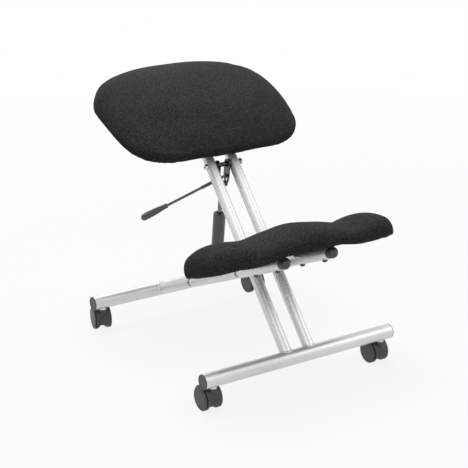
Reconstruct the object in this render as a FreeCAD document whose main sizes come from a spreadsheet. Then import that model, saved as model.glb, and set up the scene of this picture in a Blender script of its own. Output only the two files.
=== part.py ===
import FreeCAD, Part
import os
from math import asin, atan2, cos, degrees, exp, hypot, pi, radians, sin, sqrt, tan

import Sketcher
from FreeCAD import Placement, Rotation, Vector

# Kneeling chair on four twin-wheel castors: a seat frame and a knee frame of round tube,
# crossed at one pivot and held apart by a lockable gas strut.
# X runs across the chair, +Y towards its back, +Z up. Lengths in mm, angles in degrees.

doc = FreeCAD.newDocument("kneeling_chair")
sheet = doc.addObject("Spreadsheet::Sheet", "Sizes")

driving_sizes = {
    # frame of round tube
    "wheelbase": (490, "front cross tube axis to rear cross tube axis"),
    "tube_line": (72, "height of both cross tube axes over the floor"),
    "cross_length": (474, "cross tube without its end caps"),
    "cross_diameter": (32, "cross tube outside"),
    "cross_wall": (1.5, "cross tube wall"),
    "leg_diameter": (25, "seat leg outside"),
    "leg_wall": (1.5, "seat leg wall"),
    "leg_spacing": (58, "between the axes of the two seat legs"),
    "leg_angle": (48.5, "seat leg over the floor"),
    "leg_reach": (523, "along a leg axis from the front tube to the seat plate"),
    "rail_diameter": (25, "knee rail outside"),
    "rail_wall": (1.5, "knee rail wall"),
    "rail_spacing": (118, "between the axes of the two knee rails"),
    "rail_angle": (23.7, "knee rail over the floor"),
    "rail_overhang": (49, "knee cushion middle to a rail's open end, along the rail"),
    # plastic plugs in the tube ends
    "cap_flange": (2, "thickness of an end cap outside its tube"),
    "cap_plug": (12, "depth of an end cap or ball cap in its tube"),
    "cap_rounding": (0.9, "edge of an end cap"),
    "ball_diameter": (25, "ball cap"),
    "ball_neck": (21, "neck of a ball cap"),
    "ball_reach": (9, "rail end to ball centre"),
    # cross bolts and what they carry
    "bolt_diameter": (8, "all three cross bolts"),
    "bolt_head": (14, "bolt head across"),
    "bolt_head_height": (4.4, "bolt head height"),
    "bolt_dome": (3, "rounding of a bolt head"),
    "nut_width": (13, "nut across flats"),
    "nut_height": (8, "lock nut height"),
    "bush_diameter": (16, "bushes through legs and rails"),
    "bush_gap": (0.05, "running gap of a bush round its bolt"),
    "bolt_recess": (5, "depth of a bolt head's seat in the rail's side"),
    "sleeve_diameter": (14, "spacer sleeves on the cross bolts"),
    "side_gap": (0.3, "side play between a leg and its pivot washer"),
    "pivot_washer": (18, "pivot washer outside"),
    "strut_bolt_line": (168.8, "rear tube axis to lower strut bolt, along the rail"),
    "top_bolt_drop": (65.5, "seat plate to upper strut bolt, along the leg"),
    "flange_washer": (21, "washers at the upper strut bolt"),
    "flange_washer_thickness": (2, "thickness of those washers"),
    "top_sleeve_diameter": (10, "sleeve between those washers"),
    # seat
    "seat_tilt": (19.6, "seat plate and board, front edge down"),
    "seat_setback": (82, "legs' axis to cushion middle, along the seat"),
    "seat_width": (452, "seat cushion across"),
    "seat_depth": (336, "seat cushion front to back"),
    "seat_front_height": (26, "height of the seat's front roll"),
    "seat_front_roll": (25, "radius of the seat's front roll"),
    "seat_rear_height": (46.5, "height of the seat's rear roll"),
    "seat_rear_roll": (25, "radius of the seat's rear roll"),
    "seat_crown": (264, "radius of the seat's crown, front to back"),
    "seat_front_corner": (3.4, "squareness of the seat's front corners"),
    "seat_rear_corner": (2.5, "squareness of the seat's rear corners"),
    "seat_side_run": (50, "width of the rounding at either side of the seat"),
    "seat_side_lift": (18, "rise of the seat's underside in that rounding"),
    "seat_side_height": (12.4, "height of the seat's outermost side"),
    "plate_length": (190, "seat plate front to back"),
    "plate_width": (130, "seat plate across"),
    "plate_thickness": (4, "seat plate"),
    "plate_corner": (12, "seat plate corner radius"),
    "plate_front": (44, "front edge of the plate ahead of the leg axis"),
    "plate_screw_inset": (14, "seat screw to the plate's edges"),
    "seat_board_inset": (26, "seat cushion edge to board edge"),
    "seat_board_corner": (95, "seat board corner radius"),
    "board_thickness": (12, "plywood boards under both cushions"),
    "screw_diameter": (6, "board screws"),
    "screw_head": (12.5, "board screw head across"),
    "screw_head_height": (4.5, "board screw head height"),
    "screw_bite": (10, "depth of a screw in its board"),
    # knee pad
    "knee_width": (450, "knee cushion across"),
    "knee_depth": (190, "knee cushion front to back"),
    "knee_reach": (120.56, "pivot to knee cushion middle, along the rail"),
    "knee_front_height": (40, "height of the knee cushion's front roll"),
    "knee_front_roll": (26, "radius of the knee cushion's front roll"),
    "knee_rear_height": (48, "height of the knee cushion's rear roll"),
    "knee_rear_roll": (24, "radius of the knee cushion's rear roll"),
    "knee_crown": (201, "radius of the knee cushion's crown, front to back"),
    "knee_corner": (5, "squareness of the knee cushion's corners"),
    "knee_side_run": (44, "width of the rounding at either side of the knee cushion"),
    "knee_side_lift": (3, "rise of the knee cushion's underside in that rounding"),
    "knee_side_height": (18, "height of the knee cushion's outermost side"),
    "knee_lip": (8.6, "how far the knee cushion's front hangs below its board"),
    "knee_board_inset": (24, "knee cushion edge to board edge"),
    "knee_board_corner": (40, "knee board corner radius"),
    "rail_clearance": (0.3, "gap between the knee cushion and the rails"),
    "ridge_height": (5, "rise of the ridge between the knees"),
    "ridge_width": (38, "half width of that ridge"),
    "hollow_depth": (8.7, "depth of each knee hollow"),
    "hollow_line": (112, "chair middle to the middle of a knee hollow"),
    "hollow_width": (40, "half width of a knee hollow"),
    "knee_screw_front": (26, "knee cushion middle to the front knee screws"),
    "knee_screw_rear": (60.6, "knee cushion middle to the rear knee screws"),
    # gas strut, from its lower bolt upwards
    "strut_diameter": (28, "strut cylinder outside"),
    "strut_wall": (1.5, "strut cylinder wall"),
    "strut_start": (16, "lower bolt to the cylinder's closed end"),
    "strut_length": (144, "length of the strut cylinder"),
    "strut_floor": (10, "thickness of the cylinder's closed end"),
    "strut_rim": (2, "thickness of the rolled rim over the gland"),
    "gland_length": (12, "rod gland"),
    "rod_diameter": (10, "piston rod"),
    "rod_gap": (0.05, "running gap of rod and piston"),
    "rod_stub": (8, "rod end in the release head"),
    "piston_line": (98, "lower bolt to the underside of the piston"),
    "piston_height": (14, "piston"),
    "eye_diameter": (22, "eyes at both ends of the strut"),
    "eye_width": (14, "lower eye across"),
    "eye_neck": (12, "neck between the lower eye and the cylinder"),
    # release head and lever, measured down from the upper bolt
    "head_width": (27, "release head across its cheeks"),
    "cheek": (2.5, "thickness of a cheek"),
    "open_eye": (15.5, "loose eye of the release head round its sleeve"),
    "web_top": (42.5, "upper bolt to the top of the head's web"),
    "web_height": (7, "height of that web"),
    "web_depth": (14, "that web front to back"),
    "taper_start": (30, "upper bolt to where the cheeks start to taper"),
    "window_top": (34.5, "upper bolt to the window in the far cheek"),
    "window_low": (47, "upper bolt to the window's point"),
    "window_width": (10, "that window at its top"),
    "head_tail": (53, "upper bolt to the tip of the cheeks"),
    "tail_width": (6, "tip of a cheek"),
    "pin_diameter": (3, "release pin"),
    "pin_gap": (0.05, "running gap of the release pin"),
    "pin_length": (40, "release pin"),
    "pin_play": (0.35, "play between release pin and lever"),
    "lever_line": (27.2, "upper bolt to the lever at the far cheek"),
    "lever_droop": (17.2, "lever below square, grip end down"),
    "lever_diameter": (6, "lever rod"),
    "lever_reach": (156, "lever rod from the far cheek to the grip"),
    "lever_gap": (1.6, "play of the lever in its hole"),
    "knuckle_diameter": (6.4, "round knuckle on which the lever turns in its hole"),
    "knuckle_length": (6.2, "that knuckle, front to back"),
    "lever_slot_gap": (1.2, "play of the lever in the near cheek's slot"),
    "lever_stop": (9, "head on the lever outside the far cheek"),
    "lever_stop_line": (3.6, "far cheek's middle to that head"),
    "lever_stop_height": (1.4, "thickness of that head"),
    "lever_travel": (7, "angle the lever is pressed down"),
    "lever_sleeve": (8, "sleeve on the lever"),
    "sleeve_start": (32, "far cheek to the lever sleeve"),
    "sleeve_length": (34, "lever sleeve"),
    "grip_length": (66, "lever grip"),
    "grip_width": (16, "lever grip across"),
    "grip_thickness": (9, "lever grip"),
    # castors
    "stem_inset": (23, "end of a cross tube to its castor stem"),
    "stem_diameter": (8, "castor stem in its hood"),
    "stem_gap": (0.05, "running gap of stem and axle"),
    "stem_low": (39, "lower end of the stem over the floor"),
    "thread_diameter": (10, "castor stem in the tube's socket"),
    "socket_diameter": (16, "socket in the cross tube"),
    "socket_height": (18, "socket"),
    "collar_diameter": (17, "collar under the tube"),
    "collar_height": (2, "that collar"),
    "wheel_diameter": (52, "castor wheel"),
    "wheel_width": (13.5, "castor wheel"),
    "wheel_gap": (13, "between the two wheels of a castor"),
    "wheel_dish": (4, "hollow in a wheel's inner side"),
    "wheel_rounding": (1.6, "edge of a wheel"),
    "hub_diameter": (14, "wheel hub"),
    "axle_diameter": (6, "castor axle"),
    "axle_length": (36, "castor axle"),
    "trail": (18.5, "stem axis to axle"),
    "guard_gap": (0.8, "gap between wheel and mudguard"),
    "guard_thickness": (1.7, "mudguard"),
    "guard_width": (34, "mudguard across"),
    "guard_start": (35, "rear end of the mudguard over the axle"),
    "guard_sweep": (180, "angle that the mudguard covers"),
    "web_width": (11, "hood's web between the wheels"),
    "boss_diameter": (18, "hood's boss round the stem"),
    "hood_gap": (0.5, "gap between hood and collar"),
    "rear_left_swivel": (-12, "how the rear left castor stands turned"),
}

for row, (name, (number, note)) in enumerate(driving_sizes.items(), start=1):
    sheet.set(f"A{row}", name)
    sheet.set(f"B{row}", str(number))
    sheet.set(f"C{row}", note)
    sheet.setAlias(f"B{row}", name)
doc.recompute()


# A size read from the sheet, which keeps its formula so that it can be bound to it.
class Size:
    def __init__(self, number, formula):
        self.number = float(number)
        self.formula = formula

    def __float__(self):
        return self.number

    def joined(self, sign, other, swapped=False):
        left, right = (other, self) if swapped else (self, other)
        a, b = float(left), float(right)
        number = {"+": a + b, "-": a - b, "*": a * b}[sign] if sign != "/" else a / b
        return Size(number, f"({formula(left)} {sign} {formula(right)})")

    def __add__(self, other):
        return self.joined("+", other)

    def __radd__(self, other):
        return self.joined("+", other, True)

    def __sub__(self, other):
        return self.joined("-", other)

    def __rsub__(self, other):
        return self.joined("-", other, True)

    def __mul__(self, other):
        return self.joined("*", other)

    def __rmul__(self, other):
        return self.joined("*", other, True)

    def __truediv__(self, other):
        return self.joined("/", other)

    def __neg__(self):
        return self.joined("*", -1)


def formula(value):
    return value.formula if isinstance(value, Size) else repr(float(value))


class Cells:
    def __getattr__(self, name):
        return Size(sheet.get(name), f"Sizes.{name}")


cell = Cells()


def bind(thing, name, value):
    """Ties one property of an object to the sheet, or sets it where it is a derived number."""
    if isinstance(value, Size):
        thing.setExpression(name, value.formula)
    else:
        setattr(thing, name, value)


def place(x=0, y=0, z=0, about_x=0, about_z=0):
    """A place in the chair, turned about X and then about Z."""
    turned = Rotation(Vector(0, 0, 1), float(about_z)) * Rotation(Vector(1, 0, 0), float(about_x))
    return Placement(Vector(float(x), float(y), float(z)), turned)


ALONG_X = Rotation(Vector(0, 1, 0), 90)
AGAINST_X = Rotation(Vector(0, 1, 0), -90)


# Solids from which the pieces are put together

def cylinder(radius, height, where=Placement(), sweep=360):
    solid = doc.addObject("Part::Cylinder", "round")
    bind(solid, "Radius", radius)
    bind(solid, "Height", height)
    bind(solid, "Angle", sweep)
    solid.Placement = where
    return solid


def cross_cylinder(radius, length, y=0, z=0, x=0):
    """A cylinder along X, centred on x."""
    start = Vector(float(x) - float(length) / 2, float(y), float(z))
    return cylinder(radius, length, Placement(start, ALONG_X))


def block(length, width, height, where=Placement()):
    """A box centred on its place in X and Y, and standing on it in Z."""
    solid = doc.addObject("Part::Box", "block")
    for side, value in (("Length", length), ("Width", width), ("Height", height)):
        bind(solid, side, value)
    middle = Placement(Vector(-float(length) / 2, -float(width) / 2, 0), Rotation())
    solid.Placement = where * middle
    return solid


def cut(base, *tools):
    for tool in tools:
        result = doc.addObject("Part::Cut", "cut")
        result.Base = base
        result.Tool = tool
        base = result
    return base


def fuse(*solids):
    result = doc.addObject("Part::MultiFuse", "fuse")
    result.Shapes = list(solids)
    result.Refine = True
    return result


def group(*solids):
    result = doc.addObject("Part::Compound", "group")
    result.Links = list(solids)
    return result


pieces = []


def piece(label, solid, where=Placement()):
    """Names a finished sub-part and puts it in its place in the chair."""
    solid.Label = label
    solid.Placement = where
    pieces.append(solid)
    return solid


def sketch_on(body, role):
    sketch = body.newObject("Sketcher::SketchObject", "sketch")
    plane = [item for item in body.Origin.OriginFeatures if item.Role == role][0]
    sketch.AttachmentSupport = [(plane, "")]
    sketch.MapMode = "FlatFace"
    return sketch


def tie(sketch, kind, geometry, point, value):
    """Holds one coordinate of a point to the sheet."""
    number = float(value)
    if number == 0:
        axis = -2 if kind == "DistanceX" else -1
        sketch.addConstraint(Sketcher.Constraint("PointOnObject", geometry, point, axis))
        return
    index = sketch.addConstraint(Sketcher.Constraint(kind, geometry, point, number))
    if isinstance(value, Size):
        sketch.setExpression(f"Constraints[{index}]", value.formula)


def outline(sketch, corners):
    """A closed loop of straight lines through the corners."""
    first = sketch.GeometryCount
    count = len(corners)
    points = [Vector(float(x), float(y), 0) for x, y in corners]
    for index in range(count):
        line = Part.LineSegment(points[index], points[(index + 1) % count])
        sketch.addGeometry(line, False)
    for index, (x, y) in enumerate(corners):
        after = first + (index + 1) % count
        sketch.addConstraint(Sketcher.Constraint("Coincident", first + index, 2, after, 1))
        tie(sketch, "DistanceX", first + index, 1, x)
        tie(sketch, "DistanceY", first + index, 1, y)


def circle(sketch, x, y, radius):
    shape = Part.Circle(Vector(float(x), float(y), 0), Vector(0, 0, 1), float(radius))
    index = sketch.addGeometry(shape, False)
    tie(sketch, "DistanceX", index, 3, x)
    tie(sketch, "DistanceY", index, 3, y)
    tied = sketch.addConstraint(Sketcher.Constraint("Radius", index, float(radius)))
    if isinstance(radius, Size):
        sketch.setExpression(f"Constraints[{tied}]", radius.formula)


def rounded(body, base, radius, wanted):
    """Rounds those edges of a feature that the test picks."""
    doc.recompute()
    names = [f"Edge{number}" for number, edge in enumerate(base.Shape.Edges, start=1) if wanted(edge)]
    feature = body.newObject("PartDesign::Fillet", "rounding")
    feature.Base = (base, names)
    bind(feature, "Radius", radius)
    doc.recompute()
    return feature


def ring_at(radius, height):
    """Picks the round edge with this radius at this height on the piece's own axis."""
    def wanted(edge):
        curve = edge.Curve
        if not isinstance(curve, Part.Circle):
            return False
        near = abs(curve.Radius - float(radius)) < 0.01
        return near and abs(curve.Center.z - float(height)) < 0.01
    return wanted


def upright(edge):
    """Picks straight edges along the piece's own Z."""
    if not isinstance(edge.Curve, Part.Line):
        return False
    return abs(abs(edge.Curve.Direction.z) - 1) < 0.001


def turned(corners, rounding=None, at=()):
    """A piece turned about its own Z from (radius, height) corners, with the rings at 'at' rounded."""
    body = doc.addObject("PartDesign::Body", "turned")
    profile = sketch_on(body, "XZ_Plane")
    outline(profile, corners)
    feature = body.newObject("PartDesign::Revolution", "revolution")
    feature.Profile = profile
    feature.ReferenceAxis = (profile, ["V_Axis"])
    feature.Angle = 360
    for radius, height in at:
        feature = rounded(body, feature, rounding, ring_at(radius, height))
    doc.recompute()
    return body


def plate(corners, thickness, holes=(), corner_radius=None, role="XY_Plane", centred=False):
    """A flat piece from its outline, with round holes (x, y, radius)."""
    body = doc.addObject("PartDesign::Body", "plate")
    profile = sketch_on(body, role)
    outline(profile, corners)
    for x, y, radius in holes:
        circle(profile, x, y, radius)
    feature = body.newObject("PartDesign::Pad", "pad")
    feature.Profile = profile
    feature.Midplane = centred
    bind(feature, "Length", thickness)
    if corner_radius is not None:
        reach = max(abs(float(x)) for x, _ in corners)
        feature = rounded(body, feature, corner_radius,
                          lambda edge: upright(edge) and abs(abs(edge.CenterOfMass.x) - reach) < 0.01)
    doc.recompute()
    return body


def ring(inner, outer, length, where=Placement()):
    """A bush, washer, sleeve or tube."""
    body = turned([(inner, 0), (outer, 0), (outer, length), (inner, length)])
    body.Placement = where
    return body


# Where the main lines of the frame meet

wheelbase = float(cell.wheelbase)
leg_slope = radians(float(cell.leg_angle))
rail_slope = radians(float(cell.rail_angle))
fold = leg_slope + rail_slope
pivot_on_leg = wheelbase * sin(rail_slope) / sin(fold)
pivot_on_rail = wheelbase * sin(leg_slope) / sin(fold)
knee_line = cell.knee_reach + pivot_on_rail
rail_length = knee_line + cell.rail_overhang
knee_screw_lines = (knee_line + cell.knee_screw_front, knee_line - cell.knee_screw_rear)
top_bolt_line = cell.leg_reach - cell.top_bolt_drop
stem_line = cell.cross_length / 2 - cell.stem_inset


def on_leg(distance):
    """A point on the legs' line in the side view."""
    return distance * cos(leg_slope), float(cell.tube_line) + distance * sin(leg_slope)


def on_rail(distance):
    """A point on the rails' line in the side view."""
    return wheelbase - distance * cos(rail_slope), float(cell.tube_line) + distance * sin(rail_slope)


pivot_y, pivot_z = on_leg(pivot_on_leg)
upper_y, upper_z = on_leg(float(top_bolt_line))
lower_y, lower_z = on_rail(float(cell.strut_bolt_line))
strut_span = hypot(upper_y - lower_y, upper_z - lower_z)
strut_lean = degrees(atan2(lower_y - upper_y, upper_z - lower_z))

front_tube_place = place(0, 0, cell.tube_line)
rear_tube_place = place(0, wheelbase, cell.tube_line)
leg_place = place(0, 0, cell.tube_line, float(cell.leg_angle) - 90)
rail_place = place(0, wheelbase, cell.tube_line, 90 - float(cell.rail_angle))
strut_place = place(0, lower_y, lower_z, strut_lean)
head_place = place(0, upper_y, upper_z, strut_lean)

seat_slope = radians(float(cell.seat_tilt))
under_seat_y, under_seat_z = on_leg(float(cell.leg_reach)
                                    + float(cell.plate_thickness) / sin(leg_slope - seat_slope))
seat_place = place(0,
                   under_seat_y + float(cell.seat_setback) * cos(seat_slope),
                   under_seat_z + float(cell.seat_setback) * sin(seat_slope),
                   cell.seat_tilt)
knee_y, knee_z = on_rail(float(knee_line))
rail_radius = float(cell.rail_diameter) / 2
knee_place = place(0,
                   knee_y + rail_radius * sin(rail_slope),
                   knee_z + rail_radius * cos(rail_slope),
                   -float(cell.rail_angle))


# Cross tubes, sockets and end caps

def cross_tube(label, where):
    outer = cross_cylinder(cell.cross_diameter / 2, cell.cross_length)
    inner = cross_cylinder(cell.cross_diameter / 2 - cell.cross_wall, cell.cross_length)
    holes = [cylinder(cell.socket_diameter / 2, cell.cross_diameter,
                      place(side * float(stem_line), 0, -float(cell.cross_diameter)))
             for side in (-1, 1)]
    piece(label, cut(outer, inner, *holes), where)


def sockets(label, where):
    """Threaded sockets welded into a cross tube's underside, flush with it."""
    low = -float(cell.cross_diameter) / 2
    pair = [ring(cell.thread_diameter / 2, cell.socket_diameter / 2, cell.socket_height,
                 place(side * float(stem_line), 0, low))
            for side in (-1, 1)]
    piece(label, group(*pair), where)


def stems(label, where):
    """Castor stems with their collars, screwed up into the sockets."""
    journal = cell.stem_diameter / 2
    collar = cell.collar_diameter / 2
    thread = cell.thread_diameter / 2
    under_tube = cell.tube_line - cell.cross_diameter / 2
    under_collar = under_tube - cell.collar_height
    top = under_tube + cell.socket_height
    pair = []
    for side in (-1, 1):
        stem = turned([(0, cell.stem_low), (journal, cell.stem_low), (journal, under_collar),
                       (collar, under_collar), (collar, under_tube), (thread, under_tube),
                       (thread, top), (0, top)])
        stem.Placement = place(side * float(stem_line), 0, -float(cell.tube_line))
        pair.append(stem)
    piece(label, group(*pair), where)


def end_cap(label, side, where):
    plug = cell.cross_diameter / 2 - cell.cross_wall
    flange = cell.cross_diameter / 2
    cap = turned([(0, -cell.cap_plug), (plug, -cell.cap_plug), (plug, 0), (flange, 0),
                  (flange, cell.cap_flange), (0, cell.cap_flange)],
                 cell.cap_rounding, [(flange, cell.cap_flange)])
    end = Placement(Vector(side * float(cell.cross_length) / 2, 0, 0), ALONG_X if side > 0 else AGAINST_X)
    piece(label, cap, where * end)


for name, where in (("front", front_tube_place), ("rear", rear_tube_place)):
    cross_tube(f"{name}_cross_tube", where)
    sockets(f"{name}_castor_sockets", where)
    stems(f"{name}_castor_stems", where)
    end_cap(f"{name}_left_end_cap", -1, where)
    end_cap(f"{name}_right_end_cap", 1, where)


# Seat legs, coped to the front tube and cut to the seat plate

def seat_leg(label, side):
    length = cell.leg_reach + cell.leg_diameter * 2
    outer = cylinder(cell.leg_diameter / 2, length)
    inner = cylinder(cell.leg_diameter / 2 - cell.leg_wall, length)
    cope = cross_cylinder(cell.cross_diameter / 2, cell.leg_diameter * 3)
    pivot_hole = cross_cylinder(cell.bush_diameter / 2, cell.leg_diameter * 2, 0, pivot_on_leg)
    bolt_hole = cross_cylinder(cell.bolt_diameter / 2, cell.leg_diameter * 2, 0, top_bolt_line)
    under_seat = place(0, 0, cell.leg_reach, 90 - float(cell.leg_angle) + float(cell.seat_tilt))
    above = block(cell.leg_diameter * 4, cell.leg_diameter * 12, cell.leg_diameter * 6, under_seat)
    leg = cut(outer, inner, cope, pivot_hole, bolt_hole, above)
    offset = Placement(Vector(side * float(cell.leg_spacing) / 2, 0, 0), Rotation())
    piece(label, leg, leg_place * offset)


seat_leg("left_seat_leg", -1)
seat_leg("right_seat_leg", 1)


# Knee rails, coped to the rear tube

def knee_rail(label, side):
    outer = cylinder(cell.rail_diameter / 2, rail_length)
    inner = cylinder(cell.rail_diameter / 2 - cell.rail_wall, rail_length)
    cope = cross_cylinder(cell.cross_diameter / 2, cell.rail_diameter * 3)
    bush_holes = [cross_cylinder(cell.bush_diameter / 2, cell.rail_diameter * 2, 0, along)
                  for along in (pivot_on_rail, cell.strut_bolt_line)]
    screw_holes = [cylinder(cell.screw_diameter / 2, cell.rail_diameter * 2,
                            place(0, cell.rail_diameter, along, 90))
                   for along in knee_screw_lines]
    rail = cut(outer, inner, cope, *bush_holes, *screw_holes)
    offset = Placement(Vector(side * float(cell.rail_spacing) / 2, 0, 0), Rotation())
    piece(label, rail, rail_place * offset)


def ball_cap(label, side):
    ball = doc.addObject("Part::Sphere", "ball")
    bind(ball, "Radius", cell.ball_diameter / 2)
    ball.Placement = place(0, 0, cell.ball_reach)
    neck = cylinder(cell.ball_neck / 2, cell.ball_reach)
    plug = cylinder(cell.rail_diameter / 2 - cell.rail_wall, cell.cap_plug, place(0, 0, -cell.cap_plug))
    end = Placement(Vector(side * float(cell.rail_spacing) / 2, 0, float(rail_length)), Rotation())
    inside = cylinder(cell.rail_diameter / 2, cell.rail_diameter, place(0, 0, -cell.rail_diameter))
    piece(label, fuse(cut(ball, inside), neck, plug), rail_place * end)


for name, side in (("left", -1), ("right", 1)):
    knee_rail(f"{name}_knee_rail", side)
    ball_cap(f"{name}_ball_cap", side)


# Cross bolts, nuts, bushes, washers and sleeves

def cross_bolt(reach):
    """A round-headed bolt along Z: its head's underside is at zero, its end at 'reach'."""
    head = cell.bolt_head / 2
    shank = cell.bolt_diameter / 2
    return turned([(0, -cell.bolt_head_height), (head, -cell.bolt_head_height), (head, 0),
                   (shank, 0), (shank, reach), (0, reach)],
                  cell.bolt_dome, [(head, -cell.bolt_head_height)])


def lock_nut():
    across = cell.nut_width / 2
    corner = across / cos(pi / 6)
    corners = [(corner * sin(pi / 3 * turn), corner * cos(pi / 3 * turn)) for turn in range(6)]
    return plate(corners, cell.nut_height, [(0, 0, cell.bolt_diameter / 2)])


leg_outer = cell.leg_spacing / 2 + cell.leg_diameter / 2
leg_inner = cell.leg_spacing / 2 - cell.leg_diameter / 2
rail_outer = cell.rail_spacing / 2 + cell.rail_diameter / 2
rail_inner = cell.rail_spacing / 2 - cell.rail_diameter / 2
bush_end = rail_outer - cell.bolt_recess


def across(x, y, z, direction=ALONG_X):
    """A place on a cross bolt's axis, facing along X."""
    return Placement(Vector(float(x), float(y), float(z)), direction)


def bolted(bolt_label, nut_label, seat_width, axes):
    bolts, nuts = [], []
    for y, z in axes:
        bolt = cross_bolt(seat_width * 2 + cell.nut_height)
        bolt.Placement = across(-seat_width, y, z)
        bolts.append(bolt)
        nut = lock_nut()
        nut.Placement = across(seat_width, y, z)
        nuts.append(nut)
    piece(bolt_label, group(*bolts))
    piece(nut_label, group(*nuts))


pivot_axis = (pivot_y, pivot_z)
lower_axis = (lower_y, lower_z)
upper_axis = (upper_y, upper_z)

bolted("rail_bolts", "rail_nuts", bush_end, (pivot_axis, lower_axis))
bolted("upper_strut_bolt", "upper_strut_nut", leg_outer, (upper_axis,))

piece("rail_bushes", group(*[
    ring(cell.bolt_diameter / 2, cell.bush_diameter / 2, bush_end - rail_inner, across(start, y, z))
    for y, z in (pivot_axis, lower_axis) for start in (-bush_end, rail_inner)]))

piece("leg_bushes", group(*[
    ring(cell.bolt_diameter / 2 + cell.bush_gap, cell.bush_diameter / 2, leg_outer - leg_inner,
         across(start, pivot_y, pivot_z))
    for start in (-leg_outer, leg_inner)]))

piece("pivot_sleeve", ring(cell.bolt_diameter / 2 + cell.bush_gap, cell.sleeve_diameter / 2,
                           leg_inner * 2), across(-leg_inner, pivot_y, pivot_z))

washer_gap = rail_inner - leg_outer - cell.side_gap
piece("pivot_washers", group(*[
    ring(cell.bolt_diameter / 2, cell.pivot_washer / 2, washer_gap, across(start, pivot_y, pivot_z))
    for start in (-rail_inner, rail_inner - washer_gap)]))

lower_run = rail_inner - cell.eye_width / 2 - cell.side_gap
piece("lower_strut_sleeves", group(*[
    ring(cell.bolt_diameter / 2, cell.sleeve_diameter / 2, lower_run, across(start, lower_y, lower_z))
    for start in (-rail_inner, rail_inner - lower_run)]))

upper_run = leg_inner - cell.flange_washer_thickness
piece("upper_strut_sleeve", ring(cell.bolt_diameter / 2, cell.top_sleeve_diameter / 2, upper_run * 2),
      across(-upper_run, upper_y, upper_z))
piece("upper_strut_washers", group(*[
    ring(cell.bolt_diameter / 2, cell.flange_washer / 2, cell.flange_washer_thickness,
         across(start, upper_y, upper_z))
    for start in (-leg_inner, upper_run)]))


# Seat plate, boards and their screws. A cushion's own place is the middle of its underside.

plate_front = -(cell.seat_setback + cell.plate_front)
plate_rear = plate_front + cell.plate_length
plate_side = cell.plate_width / 2
screw_side = plate_side - cell.plate_screw_inset
seat_screws = [(side * screw_side, along) for side in (-1, 1)
               for along in (plate_front + cell.plate_screw_inset, plate_rear - cell.plate_screw_inset)]
piece("seat_plate",
      plate([(-plate_side, plate_front), (plate_side, plate_front),
             (plate_side, plate_rear), (-plate_side, plate_rear)],
            cell.plate_thickness,
            [(x, y, cell.screw_diameter / 2) for x, y in seat_screws], cell.plate_corner),
      seat_place * place(0, 0, -cell.plate_thickness))


def board_screw(under, bite):
    """A screw along Z: its head's top is at zero, and it goes 'under' up and 'bite' into the board."""
    head = cell.screw_head / 2
    shank = cell.screw_diameter / 2
    return turned([(0, -cell.screw_head_height), (head, -cell.screw_head_height), (head, 0),
                   (shank, 0), (shank, under + bite), (0, under + bite)],
                  cell.screw_head_height / 3, [(head, -cell.screw_head_height)])


def board(label, width, depth, inset, corner, screws, where):
    half_width = width / 2 - inset
    half_depth = depth / 2 - inset
    body = plate([(-half_width, -half_depth), (half_width, -half_depth),
                  (half_width, half_depth), (-half_width, half_depth)],
                 cell.board_thickness,
                 [(x, y, cell.screw_diameter / 2) for x, y in screws], corner)
    piece(label, body, where)


board("seat_board", cell.seat_width, cell.seat_depth, cell.seat_board_inset, cell.seat_board_corner,
      seat_screws, seat_place)
piece("seat_screws", group(*[
    board_screw(cell.plate_thickness, cell.screw_bite) for _ in seat_screws]), seat_place)
for screw, (x, y) in zip(pieces[-1].Links, seat_screws):
    screw.Placement = place(x, y, -cell.plate_thickness)

knee_screws = [(side * cell.rail_spacing / 2, knee_line - along)
               for side in (-1, 1) for along in knee_screw_lines]
board("knee_board", cell.knee_width, cell.knee_depth, cell.knee_board_inset, cell.knee_board_corner,
      knee_screws, knee_place)
piece("knee_screws", group(*[
    board_screw(cell.rail_diameter, cell.screw_bite) for _ in knee_screws]), knee_place)
for screw, (x, y) in zip(pieces[-1].Links, knee_screws):
    screw.Placement = place(x, y, -cell.rail_diameter)


# Cushions: closed forms lofted across the chair through front-to-back sections. A section has
# a straight underside, a front roll, a crown that runs smoothly round both rolls, and a rear roll.

def cushion_section(x, low, front, rear, crown):
    """'front' and 'rear' are (y of the outermost point, height of the roll, radius of the roll)."""
    front_middle = Vector(x, front[0] + front[2], front[1] - front[2])
    rear_middle = Vector(x, rear[0] - rear[2], rear[1] - rear[2])
    span = rear_middle - front_middle
    front_reach, rear_reach = crown - front[2], crown - rear[2]
    along = (front_reach ** 2 - rear_reach ** 2 + span.Length ** 2) / (2 * span.Length)
    down = sqrt(front_reach ** 2 - along ** 2)
    unit = span / span.Length
    crown_middle = front_middle + unit * along + Vector(0, unit.z, -unit.y) * down

    def on(middle, radius, angle):
        return middle + Vector(0, cos(angle), sin(angle)) * radius

    def towards(middle):
        return atan2(middle.z - crown_middle.z, middle.y - crown_middle.y)

    def lowest(middle, radius):
        return -asin(min(1, (middle.z - low) / radius))

    turns = [(rear_middle, rear[2], lowest(rear_middle, rear[2]), towards(rear_middle)),
             (crown_middle, crown, towards(rear_middle), towards(front_middle)),
             (front_middle, front[2], towards(front_middle), pi - lowest(front_middle, front[2]))]
    arcs = [Part.Arc(on(middle, radius, start), on(middle, radius, (start + end) / 2),
                     on(middle, radius, end)) for middle, radius, start, end in turns]
    underside = Part.LineSegment(arcs[-1].EndPoint, arcs[0].StartPoint)
    return Part.Wire([edge.toShape() for edge in (underside, *arcs)])


def stations(half_width, side_run):
    """Where the sections stand: evenly over the middle, then closer over the rounded side."""
    straight = half_width - side_run
    inner = [straight * step / 7 for step in range(8)]
    outer = [straight + side_run * sin(radians(angle)) for angle in (25, 45, 62, 76)]
    half = inner + outer
    return [-x for x in reversed(half[1:])] + half


def sizes_of(name, *ends):
    return [float(getattr(cell, f"{name}_{end}")) for end in ends]


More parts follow.
